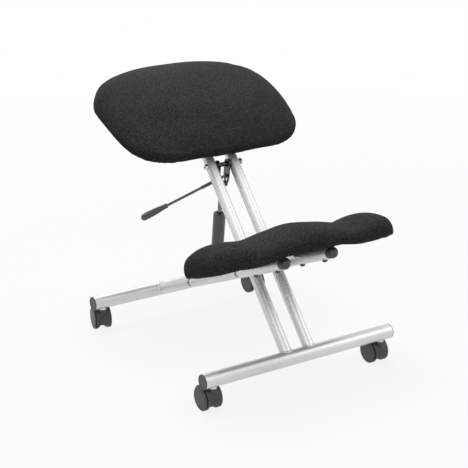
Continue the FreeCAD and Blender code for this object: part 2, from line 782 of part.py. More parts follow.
def cushion(name, corners, lip, relief):
    """A cushion's solid. 'relief' tells how much higher its top stands at each x."""
    width, depth, crown = sizes_of(name, "width", "depth", "crown")
    side_run, side_lift, side_height = sizes_of(name, "side_run", "side_lift", "side_height")
    front_height, front_roll = sizes_of(name, "front_height", "front_roll")
    rear_height, rear_roll = sizes_of(name, "rear_height", "rear_roll")
    wires = []
    for x in stations(width / 2, side_run):
        share = abs(x) / (width / 2)
        run = max(0, abs(x) - (width / 2 - side_run)) / side_run
        swell = sqrt(1 - run ** 2)
        low = side_lift * (1 - swell) - lip

        def roll(corner, height, radius):
            reach = depth / 2 * (1 - share ** corner) ** (1 / corner)
            top = side_height + (height + relief(x) - side_height) * swell
            return reach, top, min(radius, (top - low) * 0.62, reach * 0.9)

        front = roll(corners[0], front_height, front_roll)
        rear = roll(corners[1], rear_height, rear_roll)
        wires.append(cushion_section(x, low, (-front[0], *front[1:]), rear, crown))
    return Part.makeLoft(wires, True, False)


def board_space(name, lip):
    """What the cushion leaves free for its board, and below the board for the frame."""
    width, depth, inset, corner = sizes_of(name, "width", "depth", "board_inset", "board_corner")
    length, across_it = width - 2 * inset, depth - 2 * inset
    under = lip + float(cell.plate_thickness)
    solid = Part.makeBox(length, across_it, under + float(cell.board_thickness),
                         Vector(-length / 2, -across_it / 2, -under))
    uprights = [edge for edge in solid.Edges if abs(edge.tangentAt(edge.FirstParameter).z) > 0.99]
    return solid.makeFillet(corner, uprights)


def rail_space():
    """What the knee cushion leaves free for the rails, which run under its rear roll."""
    radius = rail_radius + float(cell.rail_clearance)
    depth = float(cell.knee_depth)
    beside = float(cell.rail_spacing) / 2
    return [Part.makeCylinder(radius, depth * 2, Vector(side * beside, -depth, -rail_radius), Vector(0, 1, 0))
            for side in (-1, 1)]


def add_cushion(name, corners, lip, relief, where, spaces=()):
    solid = doc.addObject("Part::Feature", "cushion")
    solid.Shape = cushion(name, corners, lip, relief).cut([board_space(name, lip), *spaces])
    piece(f"{name}_cushion", solid, where)


def knee_relief(x):
    """A ridge between the knees and a hollow for each knee."""
    ridge = float(cell.ridge_height) * exp(-(x / float(cell.ridge_width)) ** 2)
    beside = (abs(x) - float(cell.hollow_line)) / float(cell.hollow_width)
    return ridge - float(cell.hollow_depth) * exp(-beside ** 2)


add_cushion("seat", sizes_of("seat", "front_corner", "rear_corner"), 0, lambda x: 0, seat_place)
add_cushion("knee", sizes_of("knee", "corner", "corner"), float(cell.knee_lip), knee_relief, knee_place,
            rail_space())


# Gas strut: cylinder with its lower eye, gland, piston, rod and release pin

strut_top = cell.strut_start + cell.strut_length
bore = cell.strut_diameter / 2 - cell.strut_wall
gland_top = strut_top - cell.strut_rim
gland_low = gland_top - cell.gland_length
rod = cell.rod_diameter / 2
piece("strut_cylinder",
      turned([(0, cell.strut_start), (cell.strut_diameter / 2, cell.strut_start),
              (cell.strut_diameter / 2, strut_top), (rod + cell.strut_wall * 2, strut_top),
              (rod + cell.strut_wall * 2, gland_top), (bore, gland_top),
              (bore, cell.strut_start + cell.strut_floor), (0, cell.strut_start + cell.strut_floor)],
             cell.strut_rim * 0.9, [(cell.strut_diameter / 2, strut_top)]),
      strut_place)
piece("strut_gland",
      ring(rod + cell.rod_gap, bore, cell.gland_length), strut_place * place(0, 0, gland_low))

eye_neck = cylinder(cell.eye_neck / 2, cell.strut_start)
eye_ring = cross_cylinder(cell.eye_diameter / 2, cell.eye_width)
eye_hole = cross_cylinder(cell.bolt_diameter / 2 + cell.bush_gap, cell.eye_width * 2)
piece("strut_lower_eye", cut(fuse(eye_neck, eye_ring), eye_hole), strut_place)

web_low = strut_span - cell.web_top - cell.web_height
web_high = strut_span - cell.web_top
pin_hole = cell.pin_diameter / 2 + cell.pin_gap
pin_depth = cell.pin_length + cell.lever_diameter
piece("strut_piston",
      ring(rod, bore - cell.rod_gap, cell.piston_height), strut_place * place(0, 0, cell.piston_line))
piece("strut_rod",
      turned([(0, cell.piston_line), (rod, cell.piston_line), (rod, web_low),
              (cell.rod_stub / 2, web_low), (cell.rod_stub / 2, web_high),
              (pin_hole, web_high), (pin_hole, web_high - pin_depth), (0, web_high - pin_depth)]),
      strut_place)


# Release head: a fork with two cheeks round the upper bolt, a web on the rod and pointed tails.
# Its own place is on the upper bolt, with +Z up along the strut.

droop = radians(float(cell.lever_droop))
far_cheek = float(cell.head_width) / 2 - float(cell.cheek) / 2


def lever_height(x):
    """Height of the lever's axis in the release head."""
    return -float(cell.lever_line) - (far_cheek - x) * tan(droop)


def release_cheeks():
    eye = cell.eye_diameter / 2
    tip = cell.tail_width / 2
    body = doc.addObject("PartDesign::Body", "cheeks")
    side_view = sketch_on(body, "YZ_Plane")
    outline(side_view, [(-eye, eye), (eye, eye), (eye, -cell.taper_start), (tip, -cell.head_tail),
                        (-tip, -cell.head_tail), (-eye, -cell.taper_start)])
    solid = body.newObject("PartDesign::Pad", "pad")
    solid.Profile = side_view
    solid.Midplane = True
    bind(solid, "Length", cell.head_width)
    shoulder = float(eye)
    rounded(body, solid, eye * 0.98,
            lambda edge: abs(edge.CenterOfMass.z - shoulder) < 0.01
            and abs(abs(edge.CenterOfMass.y) - shoulder) < 0.01)
    inside = cell.head_width / 2 - cell.cheek
    gap = sketch_on(body, "XZ_Plane")
    outline(gap, [(-inside, -cell.head_tail * 2), (inside, -cell.head_tail * 2),
                  (inside, eye * 2), (-inside, eye * 2)])
    pocket = body.newObject("PartDesign::Pocket", "pocket")
    pocket.Profile = gap
    pocket.Type = 1
    pocket.Midplane = True
    doc.recompute()
    return body


web_floor = -(cell.web_top + cell.web_height)
web = block(cell.head_width - cell.cheek, cell.web_depth, cell.web_height, place(0, 0, web_floor))
lever_hole = cell.lever_diameter / 2 + cell.lever_gap
lever_slot = cell.lever_diameter / 2 + cell.lever_slot_gap
slot_high = lever_height(-far_cheek)
slot_low = slot_high - 2 * far_cheek * tan(radians(float(cell.lever_travel)))
window = plate([(-cell.window_width / 2, -cell.window_top), (0, -cell.window_low),
                (cell.window_width / 2, -cell.window_top)], cell.cheek * 3, role="YZ_Plane",
               centred=True)
window.Placement = place(far_cheek)
head_holes = [
    cross_cylinder(cell.open_eye / 2, cell.head_width * 2),
    cylinder(cell.rod_stub / 2, cell.web_height * 3, place(0, 0, web_floor - cell.web_height)),
    cross_cylinder(lever_hole, cell.cheek * 3, 0, lever_height(far_cheek), far_cheek),
    cross_cylinder(lever_slot, cell.cheek * 3, 0, slot_high, -far_cheek),
    cross_cylinder(lever_slot, cell.cheek * 3, 0, slot_low, -far_cheek),
    block(cell.cheek * 3, lever_slot * 2, slot_high - slot_low, place(-far_cheek, 0, slot_low)),
    window]
piece("release_head", cut(fuse(release_cheeks(), web), *head_holes), head_place)

pin_top = lever_height(0) - float(cell.lever_diameter) / 2 / cos(droop) - float(cell.pin_play)
piece("release_pin",
      turned([(0, -cell.pin_length), (cell.pin_diameter / 2, -cell.pin_length),
              (cell.pin_diameter / 2, 0), (0, 0)], cell.pin_diameter / 6, [(cell.pin_diameter / 2, 0)]),
      head_place * place(0, 0, pin_top - float(cell.pin_diameter) / 2 * tan(droop)))

# The lever's own +Z runs from the far cheek out to the grip
lever_turn = Rotation(Vector(0, 1, 0), -90 - float(cell.lever_droop))
lever_place = head_place * Placement(Vector(far_cheek, 0, lever_height(far_cheek)), lever_turn)
lever_neck = -cell.lever_stop_line
lever_end = lever_neck - cell.lever_stop_height
lever_rod = turned([(0, lever_end), (cell.lever_stop / 2, lever_end), (cell.lever_stop / 2, lever_neck),
                    (cell.lever_diameter / 2, lever_neck),
                    (cell.lever_diameter / 2, cell.sleeve_start), (cell.lever_sleeve / 2, cell.sleeve_start),
                    (cell.lever_sleeve / 2, cell.sleeve_start + cell.sleeve_length),
                    (cell.lever_diameter / 2, cell.sleeve_start + cell.sleeve_length),
                    (cell.lever_diameter / 2, cell.lever_reach + cell.grip_length / 3),
                    (0, cell.lever_reach + cell.grip_length / 3)])
lever_knuckle = cylinder(cell.knuckle_diameter / 2, cell.knuckle_length,
                         place(0, float(cell.knuckle_length) / 2, 0, 90))
piece("release_lever", fuse(lever_rod, lever_knuckle), lever_place)


def lever_grip():
    """A flattened paddle, round at the rod and widest past its middle."""
    stages = ((0, 0.56, 0.85), (0.15, 0.66, 0.92), (0.45, 0.9, 1), (0.75, 1, 0.95), (0.93, 0.8, 0.75),
              (1, 0.4, 0.4))
    sections = []
    for along, wide, thick in stages:
        section = doc.addObject("Part::Ellipse", "section")
        bind(section, "MajorRadius", cell.grip_width / 2 * wide)
        bind(section, "MinorRadius", cell.grip_thickness / 2 * thick)
        section.Placement = Placement(Vector(0, 0, float(cell.grip_length) * along),
                                      Rotation(Vector(0, 0, 1), 90))
        sections.append(section)
    loft = doc.addObject("Part::Loft", "grip_form")
    loft.Sections = sections
    loft.Solid = True
    loft.Ruled = False
    rod_hole = cylinder(cell.lever_diameter / 2, cell.grip_length / 3)
    return cut(loft, rod_hole)


piece("lever_grip", lever_grip(), lever_place * place(0, 0, cell.lever_reach))


# Castors. Each one's own place is on the floor under its stem, with +Y towards its axle.

axle_place = place(0, cell.trail, cell.wheel_diameter / 2)
guard_inner = cell.wheel_diameter / 2 + cell.guard_gap
guard_outer = guard_inner + cell.guard_thickness


def sector(radius, width):
    """Part of a cylinder round the axle, over the angle that the mudguard covers."""
    start = radians(float(cell.guard_start))
    turned_round = Rotation(Vector(0, cos(start), sin(start)), Vector(0, -sin(start), cos(start)),
                            Vector(1, 0, 0), "ZXY")
    where = axle_place * Placement(Vector(-float(width) / 2, 0, 0), turned_round)
    return cylinder(radius, width, where, cell.guard_sweep)


def around_axle(radius, width):
    return cross_cylinder(radius, width, cell.trail, cell.wheel_diameter / 2)


def hood(label, where):
    guard = cut(sector(guard_outer, cell.guard_width), around_axle(guard_inner, cell.guard_width * 2))
    web = sector(guard_inner + cell.guard_thickness / 2, cell.web_width)
    hub = around_axle(cell.hub_diameter / 2, cell.web_width)
    top = cell.tube_line - cell.cross_diameter / 2 - cell.collar_height - cell.hood_gap
    boss_low = cell.wheel_diameter / 2 + guard_inner / 3
    boss = cylinder(cell.boss_diameter / 2, top - boss_low, place(0, 0, boss_low))
    boss = cut(boss, around_axle(guard_inner, cell.guard_width * 2))
    stem_hole = cylinder(cell.stem_diameter / 2 + cell.stem_gap, cell.tube_line,
                         place(0, 0, cell.stem_low - cell.hood_gap))
    axle_hole = around_axle(cell.axle_diameter / 2, cell.web_width * 2)
    piece(label, cut(fuse(guard, web, hub, boss), stem_hole, axle_hole), where)


def axle(label, where):
    body = turned([(0, 0), (cell.axle_diameter / 2, 0), (cell.axle_diameter / 2, cell.axle_length),
                   (0, cell.axle_length)])
    start = Placement(Vector(-float(cell.axle_length) / 2, 0, 0), ALONG_X)
    piece(label, body, where * axle_place * start)


def wheel(label, side, where):
    """A wheel with its hollow side at zero and its closed face outwards."""
    tread = cell.wheel_diameter / 2
    hole = cell.axle_diameter / 2 + cell.stem_gap
    blind = (cell.axle_length - cell.wheel_gap) / 2 + cell.hood_gap
    hub_edge = cell.hub_diameter / 2
    rim = tread - cell.wheel_dish
    body = turned([(0, blind), (hole, blind), (hole, 0), (hub_edge, 0), (hub_edge, cell.wheel_dish),
                   (rim, cell.wheel_dish), (rim, 0), (tread, 0), (tread, cell.wheel_width),
                   (0, cell.wheel_width)],
                  cell.wheel_rounding, [(tread, cell.wheel_width)])
    start = Placement(Vector(side * float(cell.wheel_gap) / 2, 0, 0), ALONG_X if side > 0 else AGAINST_X)
    piece(label, body, where * axle_place * start)


castors = (("front_left", -1, 0, 0), ("front_right", 1, 0, 0),
           ("rear_left", -1, wheelbase, cell.rear_left_swivel),
           ("rear_right", 1, wheelbase, 0))
for name, side, y, swivel in castors:
    where = place(side * float(stem_line), y, 0, 0, swivel)
    hood(f"{name}_castor_hood", where)
    axle(f"{name}_castor_axle", where)
    wheel(f"{name}_castor_outer_wheel", side, where)
    wheel(f"{name}_castor_inner_wheel", -side, where)


# The origin is on the floor, under the middle of the whole chair's box

doc.recompute()
whole = FreeCAD.BoundBox()
for item in pieces:
    whole.add(item.Shape.optimalBoundingBox(False, False))
middle = Vector((whole.XMin + whole.XMax) / 2, (whole.YMin + whole.YMax) / 2, 0)
for item in pieces:
    item.Placement = Placement(-middle, Rotation()) * item.Placement
doc.recompute()

faults = [item.Label for item in doc.Objects if {"Invalid", "Error"} & set(item.State)]
faults += [item.Label for item in pieces if item.Shape.isNull() or not item.Shape.isValid()]
if faults:
    raise RuntimeError("not built: " + ", ".join(faults))

os.makedirs("parts", exist_ok=True)
for item in pieces:
    item.Shape.exportStep(f"parts/{item.Label}.step")

print(f"{len(pieces)} sub-parts, {whole.XLength:.1f} x {whole.YLength:.1f} x {whole.ZMax:.1f} mm")
for name, (y, z) in (("pivot", pivot_axis), ("lower strut bolt", lower_axis), ("upper strut bolt", upper_axis)):
    print(f"{name} axis at y {y - middle.y:.3f}, z {z:.3f}")
print(f"strut {strut_span:.3f} long, leaning {strut_lean:.3f} degrees; middle at y {middle.y:.3f}")
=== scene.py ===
from math import cos, pi, radians, sin, tan

import bmesh
import bpy
import numpy as np
from mathutils import Matrix, Vector


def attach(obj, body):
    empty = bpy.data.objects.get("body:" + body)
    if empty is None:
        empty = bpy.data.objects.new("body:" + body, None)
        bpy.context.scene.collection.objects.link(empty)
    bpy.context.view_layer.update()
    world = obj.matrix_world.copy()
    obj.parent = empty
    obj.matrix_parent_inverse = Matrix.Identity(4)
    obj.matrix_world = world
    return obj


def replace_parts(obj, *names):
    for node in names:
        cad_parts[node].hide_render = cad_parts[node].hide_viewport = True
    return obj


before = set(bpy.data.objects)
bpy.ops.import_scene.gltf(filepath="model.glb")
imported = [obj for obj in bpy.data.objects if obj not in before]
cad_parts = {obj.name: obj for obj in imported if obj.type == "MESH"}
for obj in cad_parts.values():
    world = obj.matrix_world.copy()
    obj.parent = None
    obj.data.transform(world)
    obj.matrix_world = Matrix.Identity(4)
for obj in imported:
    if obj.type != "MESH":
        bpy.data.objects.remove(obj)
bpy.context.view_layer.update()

# Kneeling chair: cloth-covered cushions, castors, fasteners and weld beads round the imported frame.
# Shapes are worked out in millimetres and become metres when a piece is made.

mm = 0.001

# side view of the frame, (y, z) of each line across the chair
chair = {
    "frontTube": (-263.711, 72), "rearTube": (226.289, 72),
    "pivot": (-126.644, 226.927), "lowerBolt": (71.725, 139.849), "upperBolt": (39.438, 414.647),
    "crossRadius": 16, "tubeRadius": 12.5, "legSide": 29, "railSide": 59,
    "legAngle": 48.5, "railAngle": 23.7, "seatTilt": 19.6, "legReach": 523,
}


# mesh helpers: a part is a pair of points, in millimetres, and faces

def gridFaces(rows, columns, wrapRows=False, wrapColumns=True):
    # each quad joins a point to its neighbours in the next column and the next row
    row = np.arange(rows if wrapRows else rows - 1)[:, None]
    column = np.arange(columns if wrapColumns else columns - 1)[None, :]
    nextRow, nextColumn = (row + 1) % rows, (column + 1) % columns
    corners = [row * columns + column, row * columns + nextColumn,
               nextRow * columns + nextColumn, nextRow * columns + column]
    return np.stack(corners, -1).reshape(-1, 4).tolist()


def turnedSurface(rows, outline=None, turns=72):
    # (radius, height) rows carried round Z; a third number blends a row's circle to the outline
    rows = np.array([(*row, 0)[:3] for row in rows], float)
    angle = np.arange(turns) * 2 * pi / turns
    factor = 1 if outline is None else 1 + rows[:, 2:] * (outline(angle) - 1)
    radius = rows[:, :1] * factor
    points = np.stack([radius * np.cos(angle), radius * np.sin(angle),
                       rows[:, 1:2] + 0 * angle], -1)
    return points.reshape(-1, 3), gridFaces(len(rows), turns)


def hexagon(angle):
    # how much further a hexagon's side lies than the circle inside it
    return 1 / np.cos(np.mod(angle + pi / 6, pi / 3) - pi / 6)


def roundedRows(corners, steps=6):
    # straight runs between (radius, height, rounding) corners, with an arc at each rounded one
    rows = []
    for index, (radius, height, rounding) in enumerate(corners):
        here = np.array([radius, height], float)
        if not rounding:
            rows.append(tuple(here))
            continue
        before = np.array(corners[index - 1][:2]) - here
        after = np.array(corners[index + 1][:2]) - here
        before, after = before / np.linalg.norm(before), after / np.linalg.norm(after)
        half = np.arccos(np.clip(before @ after, -1, 1)) / 2
        towards = (before + after) / np.linalg.norm(before + after)
        middle = here + towards * rounding / sin(half)
        start = here + before * rounding / tan(half) - middle
        end = here + after * rounding / tan(half) - middle
        first, last = np.arctan2(start[1], start[0]), np.arctan2(end[1], end[0])
        swing = np.mod(last - first + pi, 2 * pi) - pi
        angle = first + swing * np.linspace(0, 1, steps)
        rows += list(zip(middle[0] + rounding * np.cos(angle), middle[1] + rounding * np.sin(angle)))
    return rows


def smoothStep(value, low, high):
    share = np.clip((value - low) / (high - low), 0, 1)
    return share * share * (3 - 2 * share)


def facing(direction):
    # rotation that takes Z to a direction
    return np.array(Vector(direction).to_track_quat("Z", "Y").to_matrix())


def about(axis, degrees):
    return np.array(Matrix.Rotation(radians(degrees), 3, axis))


def placed(part, turn=np.eye(3), origin=(0, 0, 0)):
    points, faces = part
    return points @ turn.T + np.array(origin, float), faces


def makePiece(name, parts, material, body, sharp=38):
    # joins the parts into one closed mesh in the chair's frame
    points = np.vstack([part[0] for part in parts]) * mm
    faces, start = [], 0
    for part in parts:
        faces += [[corner + start for corner in face] for face in part[1]]
        start += len(part[0])
    mesh = bpy.data.meshes.new(name)
    mesh.from_pydata(points.tolist(), [], faces)
    tidied = bmesh.new()
    tidied.from_mesh(mesh)
    bmesh.ops.remove_doubles(tidied, verts=tidied.verts, dist=2e-6)
    bmesh.ops.dissolve_degenerate(tidied, edges=tidied.edges, dist=1e-6)
    bmesh.ops.recalc_face_normals(tidied, faces=tidied.faces)
    tidied.to_mesh(mesh)
    tidied.free()
    mesh.shade_smooth()
    mesh.set_sharp_from_angle(angle=radians(sharp))
    piece = bpy.data.objects.new(name, mesh)
    bpy.context.scene.collection.objects.link(piece)
    mesh.materials.append(material)
    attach(piece, body)
    return piece


# material helpers, shared shader groups, and the finishes made from them

def newGroup(name, inputs, outputs):
    # a shader node group with named inputs (label, kind, value) and outputs (label, kind)
    group = bpy.data.node_groups.new(name, "ShaderNodeTree")
    for label, kind, value in inputs:
        socket = group.interface.new_socket(label, in_out="INPUT", socket_type="NodeSocket" + kind)
        socket.default_value = value
    for label, kind in outputs:
        group.interface.new_socket(label, in_out="OUTPUT", socket_type="NodeSocket" + kind)
    return group, group.nodes.new("NodeGroupInput"), group.nodes.new("NodeGroupOutput")


def addNode(tree, kind, links=(), **values):
    # a node with its settings, and its inputs linked from (input, socket) pairs
    node = tree.nodes.new("ShaderNode" + kind)
    for key, value in values.items():
        if key in node.inputs:
            node.inputs[key].default_value = value
        else:
            setattr(node, key, value)
    for name, socket in links:
        tree.links.new(socket, node.inputs[name])
    return node


def mixed(tree, factor, first, second):
    # a colour between two others
    node = addNode(tree, "Mix", data_type="RGBA")
    tree.links.new(factor, node.inputs[0])
    tree.links.new(first, node.inputs[6])
    tree.links.new(second, node.inputs[7])
    return node.outputs[2]


def spread(tree, value, low, high, fromLow=0.3, fromHigh=0.7):
    # stretches a noise's middle part to a range
    node = addNode(tree, "MapRange", [("Value", value)])
    node.inputs["From Min"].default_value = fromLow
    node.inputs["From Max"].default_value = fromHigh
    for label, limit in (("To Min", low), ("To Max", high)):
        if hasattr(limit, "default_value"):
            tree.links.new(limit, node.inputs[label])
        else:
            node.inputs[label].default_value = limit
    return node.outputs["Result"]


def mottleGroup():
    # a moulded or painted skin: broad tone drift, fine grain, and smudges in its gloss
    group, given, made = newGroup(
        "skinMottle",
        [("Colour", "Color", (1, 1, 1, 1)), ("Deep colour", "Color", (0, 0, 0, 1)),
         ("Drift scale", "Float", 9), ("Grain scale", "Float", 900),
         ("Gloss low", "Float", 0.3), ("Gloss high", "Float", 0.4)],
        [("Colour", "Color"), ("Roughness", "Float"), ("Height", "Float")])
    coordinates = addNode(group, "TexCoord").outputs["Object"]
    drift = addNode(group, "TexNoise", [("Vector", coordinates), ("Scale", given.outputs["Drift scale"])],
                    Detail=4.0)
    grain = addNode(group, "TexNoise", [("Vector", coordinates), ("Scale", given.outputs["Grain scale"])],
                    Detail=2.0)
    both = addNode(group, "Math", [(0, drift.outputs["Fac"]), (1, grain.outputs["Fac"])],
                   operation="ADD").outputs[0]
    share = spread(group, both, 0.0, 1.0, 0.7, 1.3)
    colour = mixed(group, share, given.outputs["Deep colour"], given.outputs["Colour"])
    rough = spread(group, drift.outputs["Fac"], given.outputs["Gloss high"], given.outputs["Gloss low"])
    group.links.new(colour, made.inputs["Colour"])
    group.links.new(rough, made.inputs["Roughness"])
    group.links.new(grain.outputs["Fac"], made.inputs["Height"])
    return group


def crepeGroup():
    # pebbled crepe cloth: small knots of yarn, lighter and darker flecks, and a slow drift of tone
    group, given, made = newGroup(
        "crepeCloth",
        [("Yarn", "Color", (0.02, 0.02, 0.02, 1)), ("Fleck", "Color", (0.05, 0.05, 0.05, 1)),
         ("Knot scale", "Float", 640), ("Fleck scale", "Float", 330)],
        [("Colour", "Color"), ("Roughness", "Float"), ("Height", "Float")])
    coordinates = addNode(group, "TexCoord").outputs["Object"]
    knots = addNode(group, "TexVoronoi", [("Vector", coordinates), ("Scale", given.outputs["Knot scale"])],
                    feature="SMOOTH_F1", Smoothness=0.6)
    flecks = addNode(group, "TexNoise", [("Vector", coordinates), ("Scale", given.outputs["Fleck scale"])],
                     Detail=3.0)
    drift = addNode(group, "TexNoise", [("Vector", coordinates)], Scale=14.0, Detail=3.0)
    slow = spread(group, drift.outputs["Fac"], 0.47, 0.53)
    near = addNode(group, "Math", [(0, flecks.outputs["Fac"]), (1, slow)], operation="ADD").outputs[0]
    share = spread(group, near, 0.0, 1.0, 0.92, 1.2)
    colour = mixed(group, share, given.outputs["Yarn"], given.outputs["Fleck"])
    rough = spread(group, knots.outputs["Distance"], 0.82, 0.97, 0.0, 0.8)
    height = addNode(group, "Math", [(0, flecks.outputs["Fac"]), (1, knots.outputs["Distance"])],
                     operation="SUBTRACT").outputs[0]
    group.links.new(colour, made.inputs["Colour"])
    group.links.new(rough, made.inputs["Roughness"])
    group.links.new(height, made.inputs["Height"])
    return group


def veneerGroup():
    # plywood: grain along the faces, and plies of changing tone through the thickness
    group, given, made = newGroup(
        "veneer",
        [("Vector", "Vector", (0, 0, 0)), ("Light", "Color", (0.17, 0.145, 0.11, 1)),
         ("Dark", "Color", (0.095, 0.08, 0.06, 1)), ("Ply thickness", "Float", 0.0024)],
        [("Colour", "Color"), ("Roughness", "Float"), ("Height", "Float")])
    stretched = addNode(group, "Mapping", [("Vector", given.outputs["Vector"])], Scale=(8, 160, 60))
    grain = addNode(group, "TexNoise", [("Vector", stretched.outputs["Vector"])], Scale=1.0, Detail=6.0)
    depth = addNode(group, "SeparateXYZ", [("Vector", given.outputs["Vector"])]).outputs["Z"]
    ply = addNode(group, "Math", [(0, depth), (1, given.outputs["Ply thickness"])],
                  operation="DIVIDE").outputs[0]
    band = addNode(group, "Math", [(0, ply)], operation="PINGPONG")
    band.inputs[1].default_value = 1
    tone = addNode(group, "Math", [(0, grain.outputs["Fac"]), (1, band.outputs[0])],
                   operation="MULTIPLY_ADD")
    tone.inputs[2].default_value = 0.1
    share = spread(group, tone.outputs[0], 0.0, 1.0, 0.15, 0.6)
    group.links.new(mixed(group, share, given.outputs["Dark"], given.outputs["Light"]),
                    made.inputs["Colour"])
    group.links.new(spread(group, grain.outputs["Fac"], 0.5, 0.7), made.inputs["Roughness"])
    group.links.new(grain.outputs["Fac"], made.inputs["Height"])
    return group


def newMaterial(name, group, values, bump, tilt=None, **shader):
    # a Principled material whose colour, roughness and bump come from a shared group
    material = bpy.data.materials.new(name)
    material.use_nodes = True
    tree = material.node_tree
    principled = tree.nodes["Principled BSDF"]
    surface = tree.nodes.new("ShaderNodeGroup")
    surface.node_tree = group
    for label, value in values.items():
        surface.inputs[label].default_value = value
    if tilt is not None:
        coordinates = addNode(tree, "TexCoord")
        mapping = addNode(tree, "Mapping", [("Vector", coordinates.outputs["Object"])],
                          Location=tilt["origin"], Rotation=tilt["turn"])
        tree.links.new(mapping.outputs["Vector"], surface.inputs["Vector"])
    tree.links.new(surface.outputs["Colour"], principled.inputs["Base Color"])
    tree.links.new(surface.outputs["Roughness"], principled.inputs["Roughness"])
    height = addNode(tree, "Bump", [("Height", surface.outputs["Height"])],
                     Strength=bump[0], Distance=bump[1])
    tree.links.new(height.outputs["Normal"], principled.inputs["Normal"])
    for label, value in shader.items():
        principled.inputs[label.replace("_", " ")].default_value = value
    return material


def grey(value):
    # a neutral linear colour from its sRGB value on a 0 to 255 scale
    linear = ((value / 255 + 0.055) / 1.055) ** 2.4
    return (linear, linear, linear, 1)


skinMottle = mottleGroup()
crepeCloth = crepeGroup()
veneer = veneerGroup()

silverPaint = newMaterial(
    "silverPaint", skinMottle,
    {"Colour": grey(228), "Deep colour": grey(204), "Drift scale": 7, "Grain scale": 700,
     "Gloss low": 0.36, "Gloss high": 0.42},
    (0.05, 0.0002), Metallic=0.7)
darkPlastic = newMaterial(
    "darkPlastic", skinMottle,
    {"Colour": grey(64), "Deep colour": grey(54), "Drift scale": 30, "Grain scale": 1800,
     "Gloss low": 0.38, "Gloss high": 0.5},
    (0.12, 0.0002))
capPlastic = newMaterial(
    "capPlastic", skinMottle,
    {"Colour": grey(64), "Deep colour": grey(52), "Drift scale": 40, "Grain scale": 1500,
     "Gloss low": 0.3, "Gloss high": 0.42},
    (0.1, 0.0002))
strutEnamel = newMaterial(
    "strutEnamel", skinMottle,
    {"Colour": grey(86), "Deep colour": grey(76), "Drift scale": 20, "Grain scale": 1400,
     "Gloss low": 0.3, "Gloss high": 0.4},
    (0.08, 0.0002), Metallic=0.15)
blackSteel = newMaterial(
    "blackSteel", skinMottle,
    {"Colour": grey(52), "Deep colour": grey(40), "Drift scale": 60, "Grain scale": 1200,
     "Gloss low": 0.16, "Gloss high": 0.26},
    (0.06, 0.0002), Metallic=0.3, Coat_Weight=0.6, Coat_Roughness=0.12)
leverSteel = newMaterial(
    "leverSteel", skinMottle,
    {"Colour": grey(92), "Deep colour": grey(80), "Drift scale": 60, "Grain scale": 1200,
     "Gloss low": 0.12, "Gloss high": 0.2},
    (0.03, 0.0002), Metallic=0.8, Coat_Weight=1.0, Coat_Roughness=0.08)
brightZinc = newMaterial(
    "brightZinc", skinMottle,
    {"Colour": grey(222), "Deep colour": grey(196), "Drift scale": 120, "Grain scale": 1500,
     "Gloss low": 0.16, "Gloss high": 0.3},
    (0.05, 0.0001), Metallic=1.0)
chromedRod = newMaterial(
    "chromedRod", skinMottle,
    {"Colour": grey(122), "Deep colour": grey(108), "Drift scale": 40, "Grain scale": 900,
     "Gloss low": 0.1, "Gloss high": 0.18},
    (0.03, 0.0001), Metallic=1.0)
gripPlastic = newMaterial(
    "gripPlastic", skinMottle,
    {"Colour": grey(98), "Deep colour": grey(86), "Drift scale": 40, "Grain scale": 1500,
     "Gloss low": 0.34, "Gloss high": 0.46},
    (0.1, 0.0002))
charcoalCloth = newMaterial(
    "charcoalCloth", crepeCloth,
    {"Yarn": grey(29), "Fleck": grey(66), "Knot scale": 640, "Fleck scale": 460},
    (0.4, 0.0004), Sheen_Weight=0.05, Sheen_Roughness=0.5, Sheen_Tint=grey(150),
    Specular_IOR_Level=0.05)
print("materials are ready")


# cushions: closed forms from front-to-back sections, inflated as cloth over their foam

seatCushion = {
    "node": "seat_cushion", "body": "seat_frame", "middle": (0, 165.57, 497.41), "tilt": 19.6,
    "width": 455, "depth": 337, "frontHeight": 26, "frontRoll": 25, "rearHeight": 46.5,
    "rearRoll": 25, "crown": 264, "frontCorner": 3.4, "rearCorner": 2.6,
    "sideRun": 50, "sideLift": 19, "sideHeight": 12.4, "lips": (6, 5, 70, 150),
    "ridge": (0, 38), "hollows": (0, 0, 112, 40), "board": (200, 142, 95),
    "shrink": 0.5, "cap": 2,
}
kneeCushion = {
    "node": "knee_cushion", "body": "knee_frame", "middle": (0, -232.01, 286.83), "tilt": -23.7,
    "width": 460, "depth": 190, "frontHeight": 39.5, "frontRoll": 25, "rearHeight": 44.5,
    "rearRoll": 24, "crown": 175, "frontCorner": 4.6, "rearCorner": 5,
    "sideRun": 43, "sideLift": 3, "sideHeight": 20, "lips": (8.5, 4.5, 62, 125),
    "ridge": (6, 38), "hollows": (8.5, 13, 113, 41), "board": (201, 71, 40),
    "shrink": 0.5, "cap": 2,
}


sections = {
    "count": 71, "rear": 24, "crown": 34, "front": 24, "under": 26,
    "sweep": 0.985, "crowding": 0.45, "endShare": 0.997, "rollOfHeight": 0.62, "rollOfReach": 0.9,
}
padding = {
    "voxel": 5, "underHeight": 12, "facingDown": -0.6, "stapleReach": 8, "finerFacingDown": -0.5,
    "recess": 12.4, "recessFrom": 2.5, "recessTo": 6.5, "fill": 0.6,
}
cloth = {
    "frames": 20, "quality": 6, "mass": 0.25, "stretch": 12, "shear": 6, "bending": 0.6, "pressure": 4,
}


